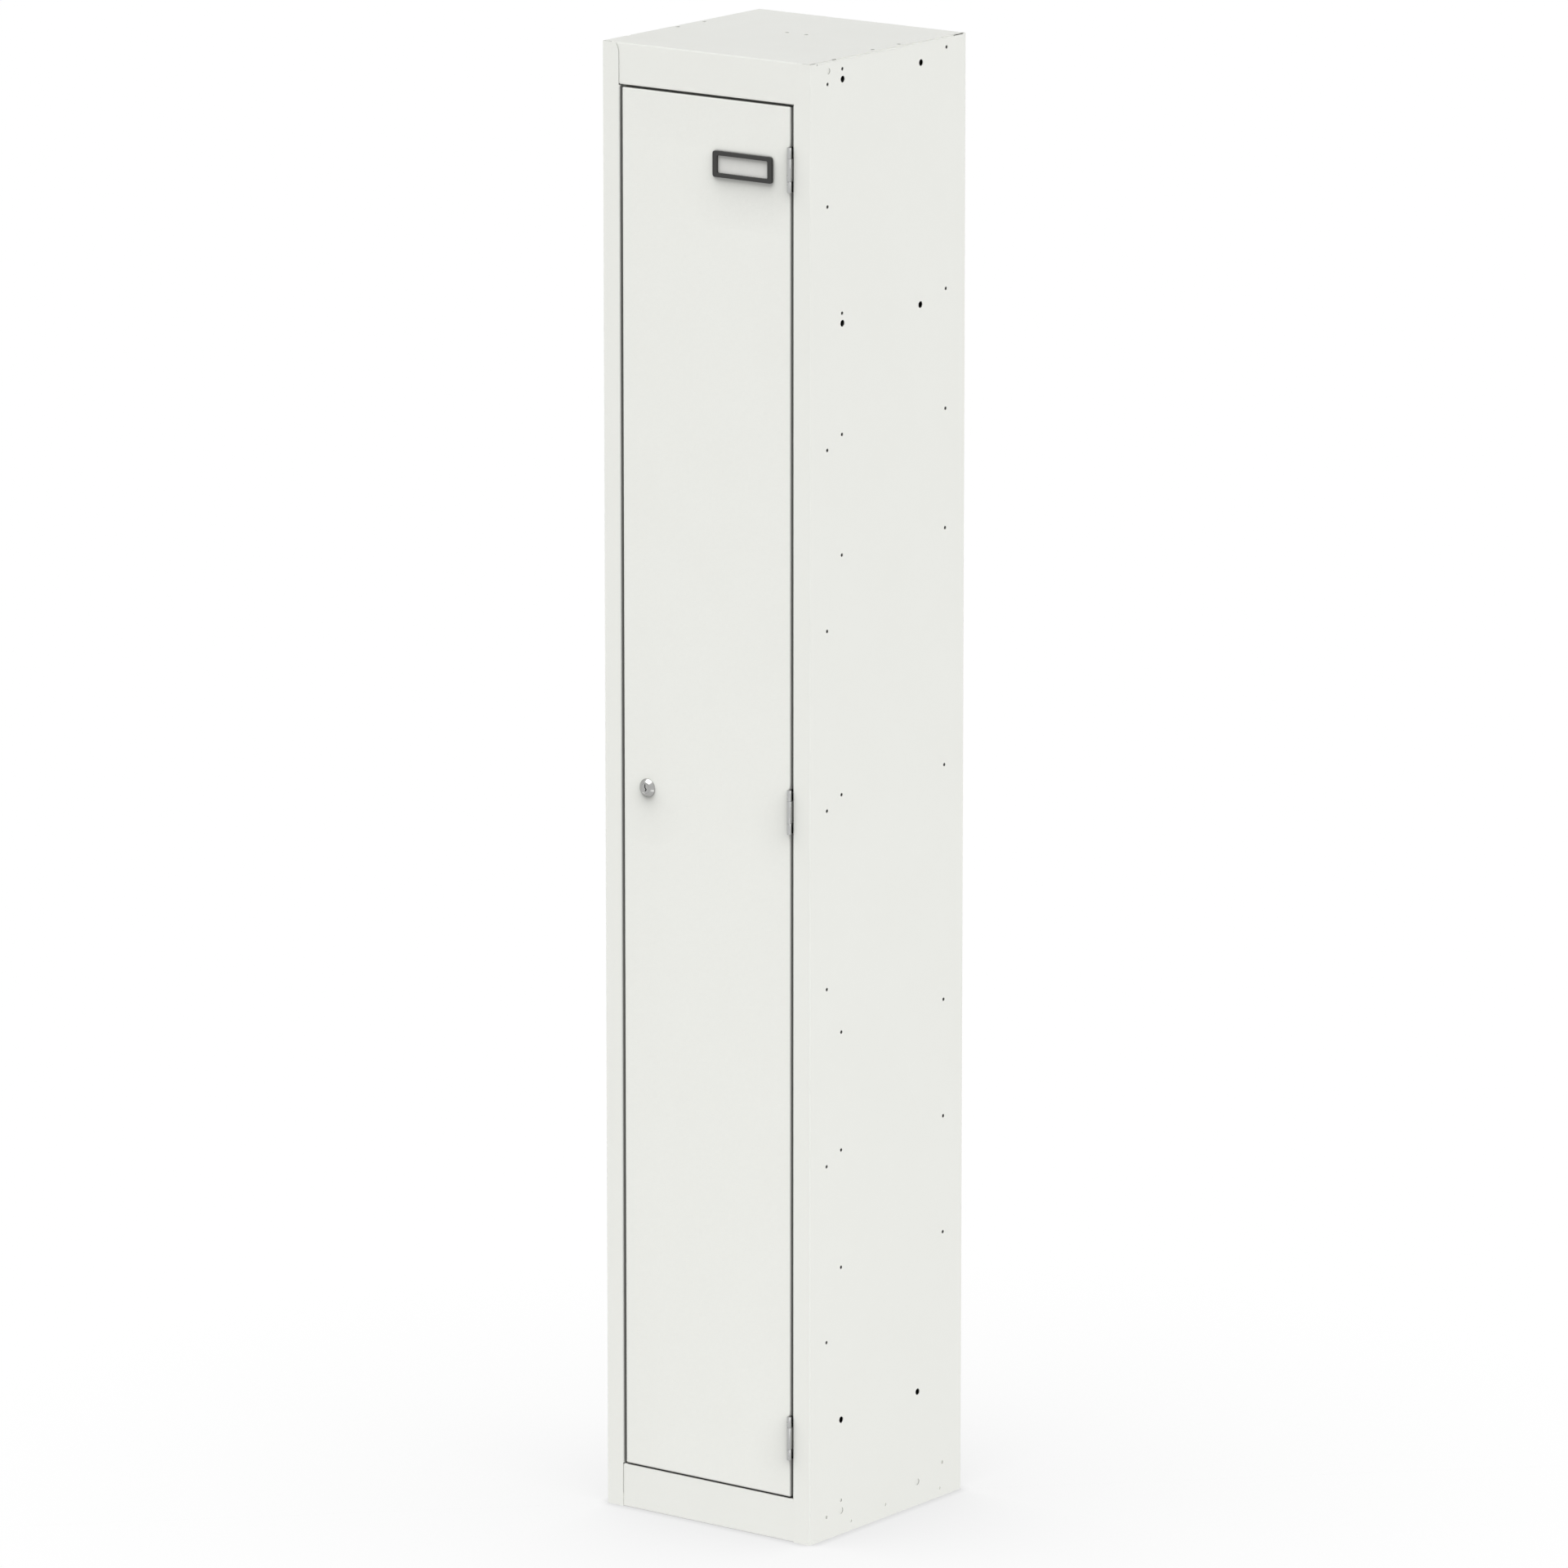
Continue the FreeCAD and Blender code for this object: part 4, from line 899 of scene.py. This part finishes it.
def floor_material():
    """Floor that lights the locker evenly from below, and looks white where it is seen."""
    material = bpy.data.materials.new("studio_floor")
    material.use_nodes = True
    tree = material.node_tree
    tree.nodes.clear()
    plain = add_node(tree, "ShaderNodeBsdfDiffuse", {"Color": FLOOR_COLOUR}).outputs["BSDF"]
    glowing = add_node(tree, "ShaderNodeEmission", {"Strength": FLOOR_GLOW}).outputs["Emission"]
    lit = add_node(tree, "ShaderNodeAddShader", {0: plain, 1: glowing}).outputs["Shader"]
    shadow = add_node(tree, "ShaderNodeBsdfDiffuse", {"Color": FLOOR_SHADOW_COLOUR}).outputs["BSDF"]
    white = FLOOR_WHITE
    for reach, darkening in ((FOOT_SHADOW_REACH, FOOT_SHADOW), (CONTACT_REACH, CONTACT_SHADOW)):
        sky = open_sky(tree, {"Distance": reach}, FLOOR_SAMPLES)
        lost = map_range(tree, sky, 0.0, 1.0, darkening, 0.0)
        white = add_math(tree, "SUBTRACT", white, lost)
    glow = add_node(tree, "ShaderNodeEmission", {"Strength": white}).outputs["Emission"]
    seen = add_node(tree, "ShaderNodeAddShader", {0: shadow, 1: glow}).outputs["Shader"]
    mixed = add_node(tree, "ShaderNodeMixShader", {"Fac": seen_directly(tree), 1: lit, 2: seen})
    add_node(tree, "ShaderNodeOutputMaterial", {"Surface": mixed.outputs["Shader"]})
    return material


bpy.ops.mesh.primitive_plane_add(size=FLOOR_SIZE)
floor = bpy.context.object
floor.name = "studio_floor"
floor.data.materials.append(floor_material())


# Studio light
# A white room that is brightest near the floor, with a wide soft lamp high in front and a weaker one on the
# right, both far off, so that the locker is lit evenly from top to bottom. A small lamp low on the right puts
# a glint on the lock.
AIM = Vector((-0.001, 0.003, 0.8806))
WHITE = (1, 1, 1, 1)
HORIZON_STRENGTH = 1.25
HORIZON_FALL = 3.0
LAMP_DISTANCE = 5.0
LAMPS = {
    "key_lamp": {"azimuth": -20, "elevation": 66, "spread": 60, "strength": 2.25},
    "side_lamp": {"azimuth": 101, "elevation": 10, "spread": 60, "strength": 1.16},
}
LOW_LAMP = {"azimuth": 55, "elevation": -29, "distance": 1.6, "size": 0.3, "power": 0.65}


def direction_from(azimuth, elevation):
    """Direction from the locker towards a place, by degrees to the right of its front and above level."""
    turn = math.radians(azimuth)
    rise = math.radians(elevation)
    level = math.cos(rise)
    return Vector((level * math.sin(turn), -level * math.cos(turn), math.sin(rise)))


def point_at_locker(thing, azimuth, elevation, distance, aim=AIM):
    """Places a lamp or the camera around the locker, looking at its middle or at another place."""
    towards = direction_from(azimuth, elevation)
    thing.location = aim + towards * distance
    thing.rotation_euler = towards.to_track_quat("Z", "Y").to_euler()
    bpy.context.scene.collection.objects.link(thing)


for lamp_name, lamp in LAMPS.items():
    light = bpy.data.lights.new(lamp_name, "SUN")
    light.angle = math.radians(lamp["spread"])
    light.energy = lamp["strength"]
    sun = bpy.data.objects.new(lamp_name, light)
    point_at_locker(sun, lamp["azimuth"], lamp["elevation"], LAMP_DISTANCE)

low_light = bpy.data.lights.new("low_lamp", "AREA")
low_light.size = LOW_LAMP["size"]
low_light.energy = LOW_LAMP["power"]
low_lamp = bpy.data.objects.new("low_lamp", low_light)
low_lamp.visible_camera = False
point_at_locker(low_lamp, LOW_LAMP["azimuth"], LOW_LAMP["elevation"], LOW_LAMP["distance"], lock_line)


def room_light():
    """World that lights the locker with a soft gradient, and looks plain white where it is seen."""
    world = bpy.data.worlds.new("studio_room")
    world.use_nodes = True
    tree = world.node_tree
    height = separate(tree, tree.nodes.new("ShaderNodeTexCoord").outputs["Generated"])["Z"]
    lowness = add_math(tree, "SUBTRACT", 1.0, add_math(tree, "MAXIMUM", height, 0.0))
    strength = add_math(tree, "MULTIPLY", add_math(tree, "POWER", lowness, HORIZON_FALL), HORIZON_STRENGTH)
    sky = add_node(tree, "ShaderNodeBackground", {"Color": WHITE, "Strength": strength})
    wall = add_node(tree, "ShaderNodeBackground", {"Color": WHITE, "Strength": 1.0})
    backgrounds = {1: sky.outputs["Background"], 2: wall.outputs["Background"]}
    mixed = add_node(tree, "ShaderNodeMixShader", {"Fac": seen_directly(tree), **backgrounds})
    tree.links.new(mixed.outputs["Shader"], tree.nodes["World Output"].inputs["Surface"])
    return world


bpy.context.scene.world = room_light()


# Camera
# A long lens from the front right, a little above the middle of the locker, and so far off that the locker's
# upright edges look almost parallel.
CAMERA_AZIMUTH = 37.039
CAMERA_ELEVATION = 12.703
CAMERA_DISTANCE = 13.3517
LENS = 257.47
SENSOR = 36.0
CAMERA_REACH = 100.0

camera_data = bpy.data.cameras.new("camera")
camera_data.lens = LENS
camera_data.sensor_width = SENSOR
camera_data.clip_end = CAMERA_REACH
camera = bpy.data.objects.new("camera", camera_data)
point_at_locker(camera, CAMERA_AZIMUTH, CAMERA_ELEVATION, CAMERA_DISTANCE)
bpy.context.scene.camera = camera
bpy.context.scene.view_settings.view_transform = "Standard"
